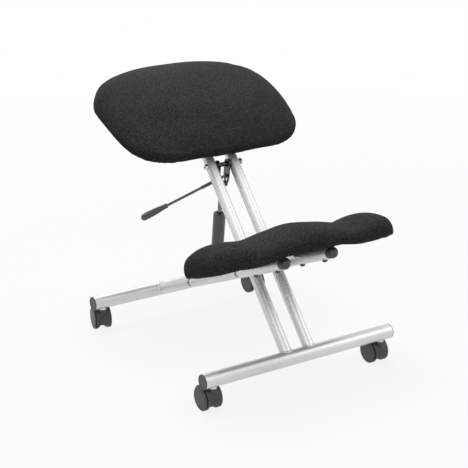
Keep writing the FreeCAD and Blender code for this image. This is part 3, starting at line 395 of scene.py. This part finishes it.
def cushionForm(form):
    # sections of a rear roll, a crown that meets both rolls, a front roll and a flat underside
    half, across = form["width"] / 2, sections["count"]
    angle = np.linspace(-pi / 2, pi / 2, across) * sections["sweep"]
    x = half * np.sin(angle) * (1 - sections["crowding"] + sections["crowding"] * np.abs(np.sin(angle)))
    x = x / np.abs(x).max() * half * sections["endShare"]
    share = np.abs(x) / half
    run = np.clip(np.abs(x) - (half - form["sideRun"]), 0, None) / form["sideRun"]
    swell = np.sqrt(1 - run ** 2)
    frontLip, rearLip, start, full = form["lips"]
    hang = smoothStep(np.abs(x), start, full)
    under = form["sideLift"] * (1 - swell)
    rise = form["ridge"][0] * np.exp(-(x / form["ridge"][1]) ** 2)
    leftDepth, rightDepth, middle, breadth = form["hollows"]
    rise = rise - np.where(x < 0, leftDepth, rightDepth) * np.exp(-((np.abs(x) - middle) / breadth) ** 2)

    def roll(corner, height, radius, low):
        reach = form["depth"] / 2 * (1 - share ** corner) ** (1 / corner)
        top = form["sideHeight"] + (height + rise - form["sideHeight"]) * swell
        radius = np.minimum(radius, (top - low) * sections["rollOfHeight"])
        radius = np.minimum(radius, reach * sections["rollOfReach"])
        return reach - radius, top - radius, radius

    frontY, frontZ, frontR = roll(form["frontCorner"], form["frontHeight"], form["frontRoll"],
                                  under - frontLip * hang)
    rearY, rearZ, rearR = roll(form["rearCorner"], form["rearHeight"], form["rearRoll"],
                               under - rearLip * hang)
    frontY = -frontY
    spanY, spanZ = rearY - frontY, rearZ - frontZ
    span = np.hypot(spanY, spanZ)
    frontReach, rearReach = form["crown"] - frontR, form["crown"] - rearR
    along = (frontReach ** 2 - rearReach ** 2 + span ** 2) / (2 * span)
    down = np.sqrt(frontReach ** 2 - along ** 2)
    crownY = frontY + (spanY * along + spanZ * down) / span
    crownZ = frontZ + (spanZ * along - spanY * down) / span
    toRear = np.arctan2(rearZ - crownZ, rearY - crownY)
    toFront = np.arctan2(frontZ - crownZ, frontY - crownY)
    rearLow = -np.arcsin(np.minimum(1, (rearZ - under + rearLip * hang) / rearR))
    frontLow = pi + np.arcsin(np.minimum(1, (frontZ - under + frontLip * hang) / frontR))

    def arc(middleY, middleZ, radius, start, end, count):
        turn = start[:, None] + (end - start)[:, None] * np.arange(count) / count
        return middleY[:, None] + radius[:, None] * np.cos(turn), \
            middleZ[:, None] + radius[:, None] * np.sin(turn)

    flat = np.arange(sections["under"])[None, :] / sections["under"]
    crown = np.full_like(x, form["crown"])
    rearArc = arc(rearY, rearZ, rearR, rearLow, toRear, sections["rear"])
    crownArc = arc(crownY, crownZ, crown, toRear, toFront, sections["crown"])
    frontArc = arc(frontY, frontZ, frontR, toFront, frontLow, sections["front"])
    startY, startZ = frontY + frontR * np.cos(frontLow), frontZ + frontR * np.sin(frontLow)
    endY, endZ = rearArc[0][:, 0], rearArc[1][:, 0]
    flatY = startY[:, None] + (endY - startY)[:, None] * flat
    flatZ = startZ[:, None] + (endZ - startZ)[:, None] * flat
    y = np.hstack([rearArc[0], crownArc[0], frontArc[0], flatY])
    z = np.hstack([rearArc[1], crownArc[1], frontArc[1], flatZ])
    points = np.stack([np.broadcast_to(x[:, None], y.shape), y, z], -1)
    columns = y.shape[1]
    faces = gridFaces(across, columns)
    faces += [list(range(columns))[::-1], list(range((across - 1) * columns, across * columns))]
    return points.reshape(-1, 3), faces


def meshPoints(mesh, kind="co"):
    values = np.empty(len(mesh.vertices) * 3, np.float32)
    mesh.vertices.foreach_get(kind, values)
    return values.reshape(-1, 3).astype(float)


def setPoints(mesh, points):
    mesh.vertices.foreach_set("co", points.astype(np.float32).ravel())
    mesh.update()


def applyModifiers(piece):
    # bakes the modifiers into the mesh
    shown = piece.evaluated_get(bpy.context.evaluated_depsgraph_get())
    old = piece.data
    piece.data = bpy.data.meshes.new_from_object(shown)
    piece.modifiers.clear()
    bpy.data.meshes.remove(old)


def boardDistance(points, board):
    # distance outside the board's rounded outline, negative within it
    corner = np.array(board[:2]) - board[2]
    beyond = np.abs(points[:, :2]) / mm - corner
    outside = np.linalg.norm(np.maximum(beyond, 0), axis=1)
    return outside + np.minimum(beyond.max(axis=1), 0) - board[2]


def inflate(piece, pinned, cap):
    # cloth under pressure for some frames, with every point's travel capped
    group = piece.vertex_groups.new(name="stapled")
    group.add([int(index) for index in np.flatnonzero(pinned)], 1, "REPLACE")
    settings = piece.modifiers.new("Cloth", "CLOTH").settings
    settings.quality = cloth["quality"]
    settings.mass = cloth["mass"]
    settings.tension_stiffness = settings.compression_stiffness = cloth["stretch"]
    settings.shear_stiffness = cloth["shear"]
    settings.bending_stiffness = cloth["bending"]
    settings.use_pressure = True
    settings.uniform_pressure_force = cloth["pressure"]
    settings.vertex_group_mass = group.name
    settings.effector_weights.gravity = 0
    rest = meshPoints(piece.data)
    for step in range(1, cloth["frames"] + 1):
        bpy.context.scene.frame_set(step)
    shown = piece.evaluated_get(bpy.context.evaluated_depsgraph_get())
    moved = meshPoints(shown.data) - rest
    piece.modifiers.clear()
    piece.vertex_groups.clear()
    bpy.context.scene.frame_set(1)
    length = np.linalg.norm(moved, axis=1, keepdims=True)
    setPoints(piece.data, rest + moved * np.minimum(1, cap * mm / np.maximum(length, 1e-9)))
    print(f"{piece.name}: cloth moved {length.mean() / mm:.1f} mm, at most {length.max() / mm:.1f}")


def makeCushion(name, form):
    piece = makePiece(name, [cushionForm(form)], charcoalCloth, form["body"])
    remesh = piece.modifiers.new("Remesh", "REMESH")
    remesh.mode = "VOXEL"
    remesh.voxel_size = padding["voxel"] * mm
    applyModifiers(piece)
    points = meshPoints(piece.data)
    low = points[:, 2] < padding["underHeight"] * mm
    under = (meshPoints(piece.data, "normal")[:, 2] < padding["facingDown"]) & low
    stapled = under & (boardDistance(points, form["board"]) < padding["stapleReach"])
    shrink = np.where(stapled, 0, form["shrink"])[:, None] * mm
    setPoints(piece.data, points - meshPoints(piece.data, "normal") * shrink)
    inflate(piece, stapled, form["cap"])
    finer = piece.modifiers.new("Finer", "SUBSURF")
    finer.levels = finer.render_levels = 1
    applyModifiers(piece)
    # a recess in the underside takes the board
    points = meshPoints(piece.data)
    beyond = boardDistance(points, form["board"])
    within = 1 - smoothStep(beyond, padding["recessFrom"], padding["recessTo"])
    low = points[:, 2] < padding["underHeight"] * mm
    under = (meshPoints(piece.data, "normal")[:, 2] < padding["finerFacingDown"]) & low
    raised = np.maximum(points[:, 2], padding["recess"] * mm)
    points[:, 2] = np.where(under, points[:, 2] + (raised - points[:, 2]) * within, points[:, 2])
    setPoints(piece.data, points @ about("X", form["tilt"]).T + np.array(form["middle"]) * mm)
    piece.data.shade_smooth()
    if not piece.data.materials:
        piece.data.materials.append(charcoalCloth)
    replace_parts(piece, form["node"])


makeCushion("seatCushion", seatCushion)
makeCushion("kneeCushion", kneeCushion)
print("cushions are ready")


# castors: a hood with its web and boss, and two wheels each

castor = {
    "trail": 18.5, "axleHeight": 26, "stemLine": 214, "hoodRadius": 28.5, "hoodHalf": 17,
    "hoodStart": 35, "hoodEnd": 200, "wall": 1.7, "valleyHalf": 12, "valleyDepth": 7,
    "valleyTop": 122, "valleyPoint": 158, "valleyOpens": (78, 100), "hoodRows": 91, "hoodColumns": 57,
    "hoodEdge": 0.8, "edgeSteps": 5, "thinnest": 0.6, "insideOverWheels": 26.7, "insideDrop": 2.6,
    "insideBlend": (6.5, 9.5), "webHalf": 5.5, "webTop": 26.6, "webDrop": 6.2, "webDropSpread": 24,
    "webBlend": (3, 2), "hubRadius": 7, "stemBore": 4.2, "bossLow": 40, "bossRadius": 8.6,
    "bossTop": 53.5, "bossRound": 1.2, "wheelStart": 6.5,
}
castorPlaces = {  # piece name, side, tube, swivel in degrees
    "front_left": ("frontLeft", -1, "frontTube", 0), "front_right": ("frontRight", 1, "frontTube", 0),
    "rear_left": ("rearLeft", -1, "rearTube", -12), "rear_right": ("rearRight", 1, "rearTube", 0),
}


def hoodShell():
    # a wall round the axle; its outside is a drum with a V-shaped valley under the stem
    angle = np.linspace(castor["hoodStart"], castor["hoodEnd"], castor["hoodRows"])[:, None]
    half, edge, count, bends = (castor[key] for key in ("hoodHalf", "hoodEdge", "hoodColumns", "edgeSteps"))
    x = np.linspace(-(half - edge), half - edge, count)[None, :]
    valley = castor["valleyPoint"] - castor["valleyTop"]
    closing = np.clip((castor["valleyPoint"] - angle) / valley, 0, 1)
    opening = smoothStep(angle, *castor["valleyOpens"])
    width = np.maximum(castor["valleyHalf"] * closing, 1e-3)
    depth = castor["valleyDepth"] * closing * opening * np.clip(1 - np.abs(x) / width, 0, 1)
    outside = castor["hoodRadius"] - depth
    near, far = castor["insideBlend"]
    clear = castor["insideOverWheels"] - castor["insideDrop"] * smoothStep(-np.abs(x), -far, -near)
    inside = np.minimum(outside - castor["thinnest"], np.maximum(outside - castor["wall"], clear))
    bend = np.linspace(0, pi, bends + 2)[None, 1:-1]
    middle, thick = (outside + inside) / 2, (outside - inside) / 2
    rightX = half - edge + edge * np.sin(bend) + 0 * angle
    rightRadius = middle[:, -1:] + thick[:, -1:] * np.cos(bend)
    leftRadius = middle[:, :1] - thick[:, :1] * np.cos(bend)
    across = np.hstack([x + 0 * angle, rightX, x[:, ::-1] + 0 * angle, -rightX])
    radius = np.hstack([outside, rightRadius, inside[:, ::-1], leftRadius])
    turn = np.radians(angle)
    points = np.stack([across, radius * np.cos(turn), radius * np.sin(turn)], -1)
    rows, columns = radius.shape
    ends = []
    for row in (0, rows - 1):  # quads between the outside and the inside close each end
        start = row * columns
        back = start + count + bends + count - 1
        for step in range(count - 1):
            ends.append([start + step, start + step + 1, back - step - 1, back - step])
        ends.append([start + count - 1 + step for step in range(bends + 2)])
        ends.append([start + columns - bends - 1 + step for step in range(bends + 1)] + [start])
    return points.reshape(-1, 3), gridFaces(rows, columns) + ends


def webOutline(angle):
    # hub radius below, the shell's inside over the hood's sweep, lower under the stem
    turn = np.mod(np.degrees(angle) - castor["hoodStart"] + 20, 360) - 20
    sweep, (before, after) = castor["hoodEnd"] - castor["hoodStart"], castor["webBlend"]
    share = smoothStep(turn, -before, after) * (1 - smoothStep(turn, sweep - after, sweep + before))
    stem = np.exp(-((np.degrees(angle) - castor["valleyTop"]) / castor["webDropSpread"]) ** 2)
    hub = castor["hubRadius"]
    return (hub + (castor["webTop"] - castor["webDrop"] * stem - hub) * share) / hub


def hoodParts():
    half, hub = castor["webHalf"], castor["hubRadius"]
    web = turnedSurface([(0, -half, 1), (hub, -half, 1), (hub, half, 1), (0, half, 1)], webOutline, 180)
    upright = np.array([[0, 0, 1], [1, 0, 0], [0, 1, 0]])  # takes the outline's plane to Y and Z
    low, top, radius, bore = (castor[key] for key in ("bossLow", "bossTop", "bossRadius", "stemBore"))
    boss = turnedSurface(roundedRows([
        (bore, low, 0), (radius, low, 0), (radius, top, castor["bossRound"]), (bore + 0.8, top, 0),
        (bore, top - 0.6, 0), (bore, low, 0)]))
    return [hoodShell(), placed(web, upright),
            placed(boss, origin=(0, -castor["trail"], -castor["axleHeight"]))]


# a wheel's section as (radius, distance from its inner side, rounding): a stepped outer disc, a dark
# groove, the tread with its inner side chamfered, a hollow inner face, and the bore for the axle
wheelProfile = [
    (0, 13.5, 0), (20.2, 13.4, 0.3), (20.8, 12.8, 0.2), (22, 12.8, 0.2), (22.5, 13.3, 0.3),
    (24.4, 13.3, 0.5), (26, 12.4, 0.5), (26, 11.7, 0.2), (21.6, 11.6, 0.2), (21.6, 9.3, 0.2),
    (26, 9.1, 0.4), (26, 4.6, 1.5), (22.6, 0, 0.3), (21, 0, 0.3), (21, 4, 0.6),
    (7, 4, 0.6), (7, 0, 0.5), (3.3, 0, 0), (3.3, 11, 0), (0, 11, 0),
]
wheelPart = turnedSurface(roundedRows(wheelProfile, 5), turns=96)

for node, (key, side, tube, swivel) in castorPlaces.items():
    turn = about("Z", swivel)
    stem = np.array([side * castor["stemLine"], chair[tube][0], 0])
    axle = turn @ np.array([0, castor["trail"], castor["axleHeight"]]) + stem
    hood = makePiece(key + "CastorHood", [placed(part, turn, axle) for part in hoodParts()],
                     darkPlastic, node + "_castor", 30)
    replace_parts(hood, node + "_castor_hood")
    for label, way in (("outer", side), ("inner", -side)):
        start = axle + turn @ np.array([way * castor["wheelStart"], 0, 0])
        wheel = makePiece(f"{key}{label.title()}Wheel",
                          [placed(wheelPart, turn @ facing((way, 0, 0)), start)],
                          darkPlastic, f"{node}_{label}_wheel", 30)
        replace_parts(wheel, f"{node}_castor_{label}_wheel")
print("castors are ready")


# end caps, bolts, nuts and screws

fasteners = {
    "capReach": 237, "railSeat": 66.5, "legSeat": 41.5, "beyondNut": 7,
    "headRadius": 7, "headHeight": 4.4, "shank": 4, "shankChamfer": 0.5, "boltSocket": 2.5,
    "screwHead": 6.25, "screwHeadHeight": 4.5, "screwShank": 3, "screwBite": 10, "screwSocket": 2.2,
    # a head's shape, as shares of its height or of its socket
    "skirt": 0.25, "shoulder": 1.25, "mouth": 1.08, "mouthBlend": 0.6, "mouthDrop": 0.2,
    "socketFloor": [(1, 0.35), (0.5, 0.25), (0, 0.22)],
}
# sections as (radius, height, rounding): a plug with a shallow dish and a raised rim
capProfile = [
    (0, -12, 0), (14.5, -12, 0.5), (14.5, 0, 0), (16, 0, 0), (16, 2.2, 1.2), (13.4, 2.2, 0.4),
    (12.6, 1.5, 0.4), (0, 1.7, 0),
]
# and (radius, height, share of the hexagon): six flats with chamfered corners under a lock ring
nutProfile = [
    (4.05, 0, 0), (6.24, 0, 0), (6.5, 0.7, 1), (6.5, 5.8, 1), (6.305, 6.5, 0.1), (5.59, 6.7, 0),
    (5.46, 7.6, 0), (4.94, 8, 0), (4.45, 7.9, 0), (4.05, 7.4, 0), (4.05, 0, 0),
]
boardScrews = {
    "seatScrews": {"node": "seat_screws", "across": (-51, 51), "along": (-112, 50), "under": 4},
    "kneeScrews": {"node": "knee_screws", "across": (-59, 59), "along": (-26, 60.6), "under": 25},
}
capPart = turnedSurface(roundedRows(capProfile))
nutPart = turnedSurface(nutProfile, hexagon)


def boltHead(radius, height, socket):
    # a dome with a six-sided socket, its underside at zero
    skirt, shoulder = fasteners["skirt"], socket * fasteners["shoulder"]
    rows = [(radius, 0), (radius, height * skirt)]
    rows += [(radius + (shoulder - radius) * share, height * (skirt + (1 - skirt) * sin(share * pi / 2)))
             for share in np.linspace(0, 1, 9)[1:]]
    rows += [(socket * fasteners["mouth"], height, fasteners["mouthBlend"]),
             (socket, height - fasteners["mouthDrop"], 1)]
    return rows + [(socket * wide, height * high, 1) for wide, high in fasteners["socketFloor"]]


def bolt(reach):
    # Z runs from the head's underside back along the shank, so the head looks along -Z
    shank, chamfer = fasteners["shank"], fasteners["shankChamfer"]
    rows = [(0, -reach), (shank - chamfer, -reach), (shank, chamfer - reach), (shank, 0)]
    head = boltHead(fasteners["headRadius"], fasteners["headHeight"], fasteners["boltSocket"])
    return turnedSurface(rows + head, hexagon)


def screw(under):
    # underside of the head at zero, shank towards -Z
    reach = under + fasteners["screwBite"]
    rows = [(0, -reach), (fasteners["screwShank"], -reach), (fasteners["screwShank"], 0)]
    head = boltHead(fasteners["screwHead"], fasteners["screwHeadHeight"], fasteners["screwSocket"])
    return turnedSurface(rows + head, hexagon, 48)


for key, tube, body in (("front", "frontTube", "seat_frame"), ("rear", "rearTube", "knee_frame")):
    for label, way in (("Left", -1), ("Right", 1)):
        centre = (way * fasteners["capReach"], *chair[tube])
        cap = makePiece(f"{key}{label}EndCap", [placed(capPart, facing((way, 0, 0)), centre)],
                        capPlastic, body, 30)
        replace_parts(cap, f"{key}_{label.lower()}_end_cap")


def boltsAndNuts(boltName, nutName, axes, seat, body, nodes):
    # a head on the chair's left and a nut on its right, on each axis across the chair
    reach = 2 * seat + fasteners["beyondNut"]
    bolts = [placed(bolt(reach), facing((-1, 0, 0)), (-seat, *chair[axis])) for axis in axes]
    nuts = [placed(nutPart, facing((1, 0, 0)), (seat, *chair[axis])) for axis in axes]
    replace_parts(makePiece(boltName, bolts, brightZinc, body, 30), nodes[0])
    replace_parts(makePiece(nutName, nuts, brightZinc, body, 25), nodes[1])


boltsAndNuts("railBolts", "railNuts", ("pivot", "lowerBolt"), fasteners["railSeat"], "knee_frame",
             ("rail_bolts", "rail_nuts"))
boltsAndNuts("upperStrutBolt", "upperStrutNut", ("upperBolt",), fasteners["legSeat"], "seat_frame",
             ("upper_strut_bolt", "upper_strut_nut"))
for (name, screws), form in zip(boardScrews.items(), (seatCushion, kneeCushion)):
    # up into the board, in its cushion's own directions, through the metal under it
    turn, under = about("X", form["tilt"]), screws["under"]
    parts = [placed(placed(screw(under), about("X", 180), (x, y, -under)), turn, form["middle"])
             for x in screws["across"] for y in screws["along"]]
    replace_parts(makePiece(name, parts, blackSteel, form["body"], 30), screws["node"])
print("fasteners are ready")


# weld beads where the legs and rails meet the cross tubes and the seat plate

weld = {"radius": 2.1, "ripple": 0.22, "ripples": 34, "stepsPerRipple": 6, "around": 12, "sunk": 0.4}


def sweptRing(path, outward, radius):
    # a round bead carried along a closed path
    around = weld["around"]
    tangent = np.roll(path, -1, 0) - np.roll(path, 1, 0)
    tangent /= np.linalg.norm(tangent, axis=1, keepdims=True)
    side = np.cross(tangent, outward)
    side /= np.linalg.norm(side, axis=1, keepdims=True)
    up = np.cross(side, tangent)
    angle = (np.arange(around) * 2 * pi / around)[None, :, None]
    ring = np.cos(angle) * up[:, None] + np.sin(angle) * side[:, None]
    points = path[:, None] + radius[:, None, None] * ring
    return points.reshape(-1, 3), gridFaces(len(path), around, wrapRows=True)


def tubeBead(height, turn, origin):
    # where a tube's side meets another surface; height says how far along the tube at each angle
    turns = weld["ripples"] * weld["stepsPerRipple"]
    angle = np.arange(turns) * 2 * pi / turns
    out = np.stack([np.cos(angle), np.sin(angle), 0 * angle], -1)
    path = out * chair["tubeRadius"] + np.stack([0 * angle, 0 * angle, height(np.sin(angle))], -1)
    radius = weld["radius"] + weld["ripple"] * np.sin(angle * weld["ripples"])
    points, faces = sweptRing(path, out, radius)
    return points @ turn.T + np.array(origin, float), faces


def saddle(sine):
    # height at which the tube's side meets a round cross tube
    return np.sqrt(chair["crossRadius"] ** 2 - (chair["tubeRadius"] * sine) ** 2)


legTurn, railTurn = about("X", chair["legAngle"] - 90), about("X", 90 - chair["railAngle"])
seatCut = chair["tubeRadius"] * tan(radians(90 - chair["legAngle"] + chair["seatTilt"]))
legBeads = []
for side in (-1, 1):
    foot = (side * chair["legSide"], *chair["frontTube"])
    legBeads.append(tubeBead(saddle, legTurn, foot))
    legBeads.append(tubeBead(lambda sine: chair["legReach"] - weld["sunk"] + seatCut * sine,
                             legTurn, foot))
makePiece("legWelds", legBeads, silverPaint, "seat_frame", 60)
makePiece("railWelds", [tubeBead(saddle, railTurn, (side * chair["railSide"], *chair["rearTube"]))
                        for side in (-1, 1)], silverPaint, "knee_frame", 60)
print("weld beads are ready")


# the flattened grip on the end of the release lever

grip = {
    "start": (-136.79, 47.99, 341.82), "direction": (-0.9553, 0.0345, -0.2937),
    "length": 66, "width": 8.2, "thickness": 4.6, "squareness": 2.6, "endFrom": 0.86,
    # share of the length, of the width and of the thickness: neck, waist and paddle
    "stops": [(0, 0.5, 0.7), (0.012, 0.64, 0.9), (0.10, 0.64, 0.92), (0.14, 0.66, 0.86),
              (0.45, 0.9, 1), (0.72, 1, 0.98), (0.86, 0.98, 0.92)],
    "thumbMiddle": 0.68, "thumbSpread": 0.16, "thumbDepth": 0.9, "thumbWidth": 0.75,
}


def gripParts():
    # superellipse sections along the grip: a squared neck, a waist, a broad paddle, a round end
    start, rest = grip["endFrom"], 1 - grip["endFrom"]
    stops, widths, thicknesses = zip(*grip["stops"])
    along = np.concatenate([[0, 0.004], np.linspace(stops[1], start, 40),
                            1 - rest * (1 - np.sin(np.linspace(0, pi / 2, 18)[1:]))])
    wide, thick = np.interp(along, stops, widths), np.interp(along, stops, thicknesses)
    end = np.sqrt(np.clip(1 - (np.clip(along - start, 0, None) / rest) ** 2, 0, 1))
    angle = np.arange(48) * 2 * pi / 48
    power = 2 / grip["squareness"]
    across = np.sign(np.cos(angle)) * np.abs(np.cos(angle)) ** power
    up = np.sign(np.sin(angle)) * np.abs(np.sin(angle)) ** power
    thumb = np.exp(-((along - grip["thumbMiddle"]) / grip["thumbSpread"]) ** 2)[:, None]
    thumb = thumb * grip["thumbDepth"] * np.clip(1 - (across / grip["thumbWidth"]) ** 2, 0, 1)
    x = (grip["width"] * wide * end)[:, None] * across
    y = (grip["thickness"] * thick * end)[:, None] * up
    y = y - np.sign(up) * np.minimum(np.abs(y), thumb * (up > 0))
    points = np.stack([x, y, np.broadcast_to((along * grip["length"])[:, None], x.shape)], -1)
    rows, columns = x.shape
    return points.reshape(-1, 3), gridFaces(rows, columns) + [list(range(columns))[::-1]]


along = np.array(grip["direction"]) / np.linalg.norm(grip["direction"])
upward = np.cross(along, (0, 1, 0))
upward = upward / np.linalg.norm(upward)
gripTurn = np.stack([upward, -np.cross(upward, along), along], 1)
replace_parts(makePiece("leverGrip", [placed(gripParts(), gripTurn, grip["start"])], gripPlastic,
                      "lever", 50), "lever_grip")
print("lever grip is ready")


# finishes on the frame's own parts

finishes = {
    silverPaint: ["cross_tube", "seat_leg", "knee_rail"],
    brightZinc: ["castor_stems", "castor_sockets", "castor_axle"],
    leverSteel: ["release_lever"],
    blackSteel: ["release_head", "seat_plate", "strut_washers", "sleeve",
                 "strut_lower_eye", "strut_gland", "strut_piston"],
    strutEnamel: ["strut_cylinder"],
    chromedRod: ["strut_rod", "release_pin"],
    capPlastic: ["ball_cap", "pivot_washers", "rail_bushes", "leg_bushes"],
}
plywood = {"Light": (0.17, 0.145, 0.11, 1), "Dark": (0.095, 0.08, 0.06, 1), "Ply thickness": 0.0024}
for key, form in (("seat_board", seatCushion), ("knee_board", kneeCushion)):
    start = about("X", -form["tilt"]) @ (-np.array(form["middle"]) * mm)
    ply = newMaterial(key.replace("_b", "B"), veneer, plywood, (0.2, 0.0004),
                      {"origin": tuple(start), "turn": (-radians(form["tilt"]), 0, 0)})
    finishes[ply] = [key]
for name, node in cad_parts.items():
    chosen = [material for material, words in finishes.items() if any(word in name for word in words)]
    if not chosen:
        if not node.hide_render:
            raise RuntimeError(f"{name} has no finish")
        chosen = [darkPlastic]
    for slot in node.material_slots:
        slot.material = chosen[0]
print("frame is finished")


# floor, world, lamps and camera

studio = {
    "floorRadius": 2.6, "floorColour": (0.62, 0.62, 0.62, 1), "floorGlow": 0.86, "worldLight": 0.33,
    "floorRings": 24, "floorTurns": 96, "fadeFrom": 0.9, "fadeMargin": 0.05, "floorRoughness": 0.9,
    "floorSpecular": 0.1,
    "lamps": [  # place, aim, size, watts
        ((-0.2, 0.3, 2.9), (0, 0, 0.3), 1.4, 66),
        ((-1.2, -2.0, 1.8), (0, 0, 0.3), 1.4, 10),
        ((2.0, -1.2, 1.5), (0, 0, 0.3), 1.6, 13),
        ((0.4, 2.0, 2.0), (0, 0.1, 0.3), 1.4, 14),
    ],
}


def seenDirectly(tree):
    # 1 for a ray from the camera, or one mirrored or let through by the object
    path = addNode(tree, "LightPath")
    seen = path.outputs["Is Camera Ray"]
    for ray in ("Is Glossy Ray", "Is Transmission Ray"):
        seen = addNode(tree, "Math", [(0, seen), (1, path.outputs[ray])], operation="MAXIMUM").outputs[0]
    return seen


def makeFloor():
    # a round floor whose rim fades into the white background
    turns, rings = studio["floorTurns"], studio["floorRings"]
    angle = np.arange(turns) * 2 * pi / turns
    radius = np.linspace(0, studio["floorRadius"], rings)[:, None]
    points = np.stack([radius * np.cos(angle), radius * np.sin(angle), 0 * radius * angle], -1)
    mesh = bpy.data.meshes.new("floor")
    mesh.from_pydata(points.reshape(-1, 3).tolist(), [], gridFaces(rings, turns))
    floor = bpy.data.objects.new("floor", mesh)
    bpy.context.scene.collection.objects.link(floor)
    material = bpy.data.materials.new("paleFloor")
    material.use_nodes = True
    tree = material.node_tree
    principled, output = tree.nodes["Principled BSDF"], tree.nodes["Material Output"]
    principled.inputs["Base Color"].default_value = studio["floorColour"]
    principled.inputs["Roughness"].default_value = studio["floorRoughness"]
    principled.inputs["Specular IOR Level"].default_value = studio["floorSpecular"]
    coordinates = addNode(tree, "TexCoord")
    distance = addNode(tree, "VectorMath", [(0, coordinates.outputs["Object"])], operation="LENGTH")
    rim = studio["floorRadius"] - studio["fadeMargin"]
    fade = spread(tree, distance.outputs["Value"], 0.0, 1.0, studio["fadeFrom"], rim)
    seen = spread(tree, seenDirectly(tree), 0.0, studio["floorGlow"], 0, 1)
    glow = addNode(tree, "Emission")
    lit = tree.nodes.new("ShaderNodeMixShader")
    tree.links.new(seen, lit.inputs[0])
    tree.links.new(principled.outputs[0], lit.inputs[1])
    tree.links.new(glow.outputs[0], lit.inputs[2])
    clear = addNode(tree, "BsdfTransparent")
    mix = tree.nodes.new("ShaderNodeMixShader")
    tree.links.new(fade, mix.inputs[0])
    tree.links.new(lit.outputs[0], mix.inputs[1])
    tree.links.new(clear.outputs[0], mix.inputs[2])
    tree.links.new(mix.outputs[0], output.inputs[0])
    mesh.materials.append(material)


def makeWorld():
    # white where it is looked at or mirrored, and a softer light on everything else
    world = bpy.data.worlds.new("studio")
    bpy.context.scene.world = world
    world.use_nodes = True
    tree = world.node_tree
    background = tree.nodes["Background"]
    background.inputs["Color"].default_value = (1, 1, 1, 1)
    strength = spread(tree, seenDirectly(tree), studio["worldLight"], 1.0, 0, 1)
    tree.links.new(strength, background.inputs["Strength"])


def makeLamps():
    for index, (start, aim, size, watts) in enumerate(studio["lamps"]):
        light = bpy.data.lights.new(f"softbox{index}", "AREA")
        light.energy, light.size = watts, size
        lamp = bpy.data.objects.new(light.name, light)
        lamp.location = start
        lamp.rotation_mode = "QUATERNION"
        lamp.rotation_quaternion = (Vector(aim) - Vector(start)).to_track_quat("-Z", "Y")
        bpy.context.scene.collection.objects.link(lamp)


camera = {
    "azimuth": -32.3, "elevation": 19.48, "roll": -0.18, "distance": 2845.14,
    "focal": 1314.72, "picture": 468, "sensor": 36, "farthest": 50, "target": (-28.97, -52.73, 285.31),
}


def makeCamera():
    turn, lift, roll = (radians(camera[key]) for key in ("azimuth", "elevation", "roll"))
    back = Vector((sin(turn) * cos(lift), -cos(turn) * cos(lift), sin(lift)))
    right = Vector((cos(turn), sin(turn), 0))
    up = back.cross(right)
    right, up = right * cos(roll) + up * sin(roll), up * cos(roll) - right * sin(roll)
    data = bpy.data.cameras.new("camera")
    data.sensor_width = camera["sensor"]
    data.lens = camera["focal"] * camera["sensor"] / camera["picture"]
    data.clip_end = camera["farthest"]
    taker = bpy.data.objects.new("camera", data)
    place = (Vector(camera["target"]) + back * camera["distance"]) * mm
    taker.matrix_world = Matrix.Translation(place) @ Matrix((right, up, back)).transposed().to_4x4()
    bpy.context.scene.collection.objects.link(taker)
    bpy.context.scene.camera = taker


makeFloor()
makeWorld()
makeLamps()
makeCamera()
bpy.context.scene.view_settings.view_transform = "Standard"
print("studio is ready")
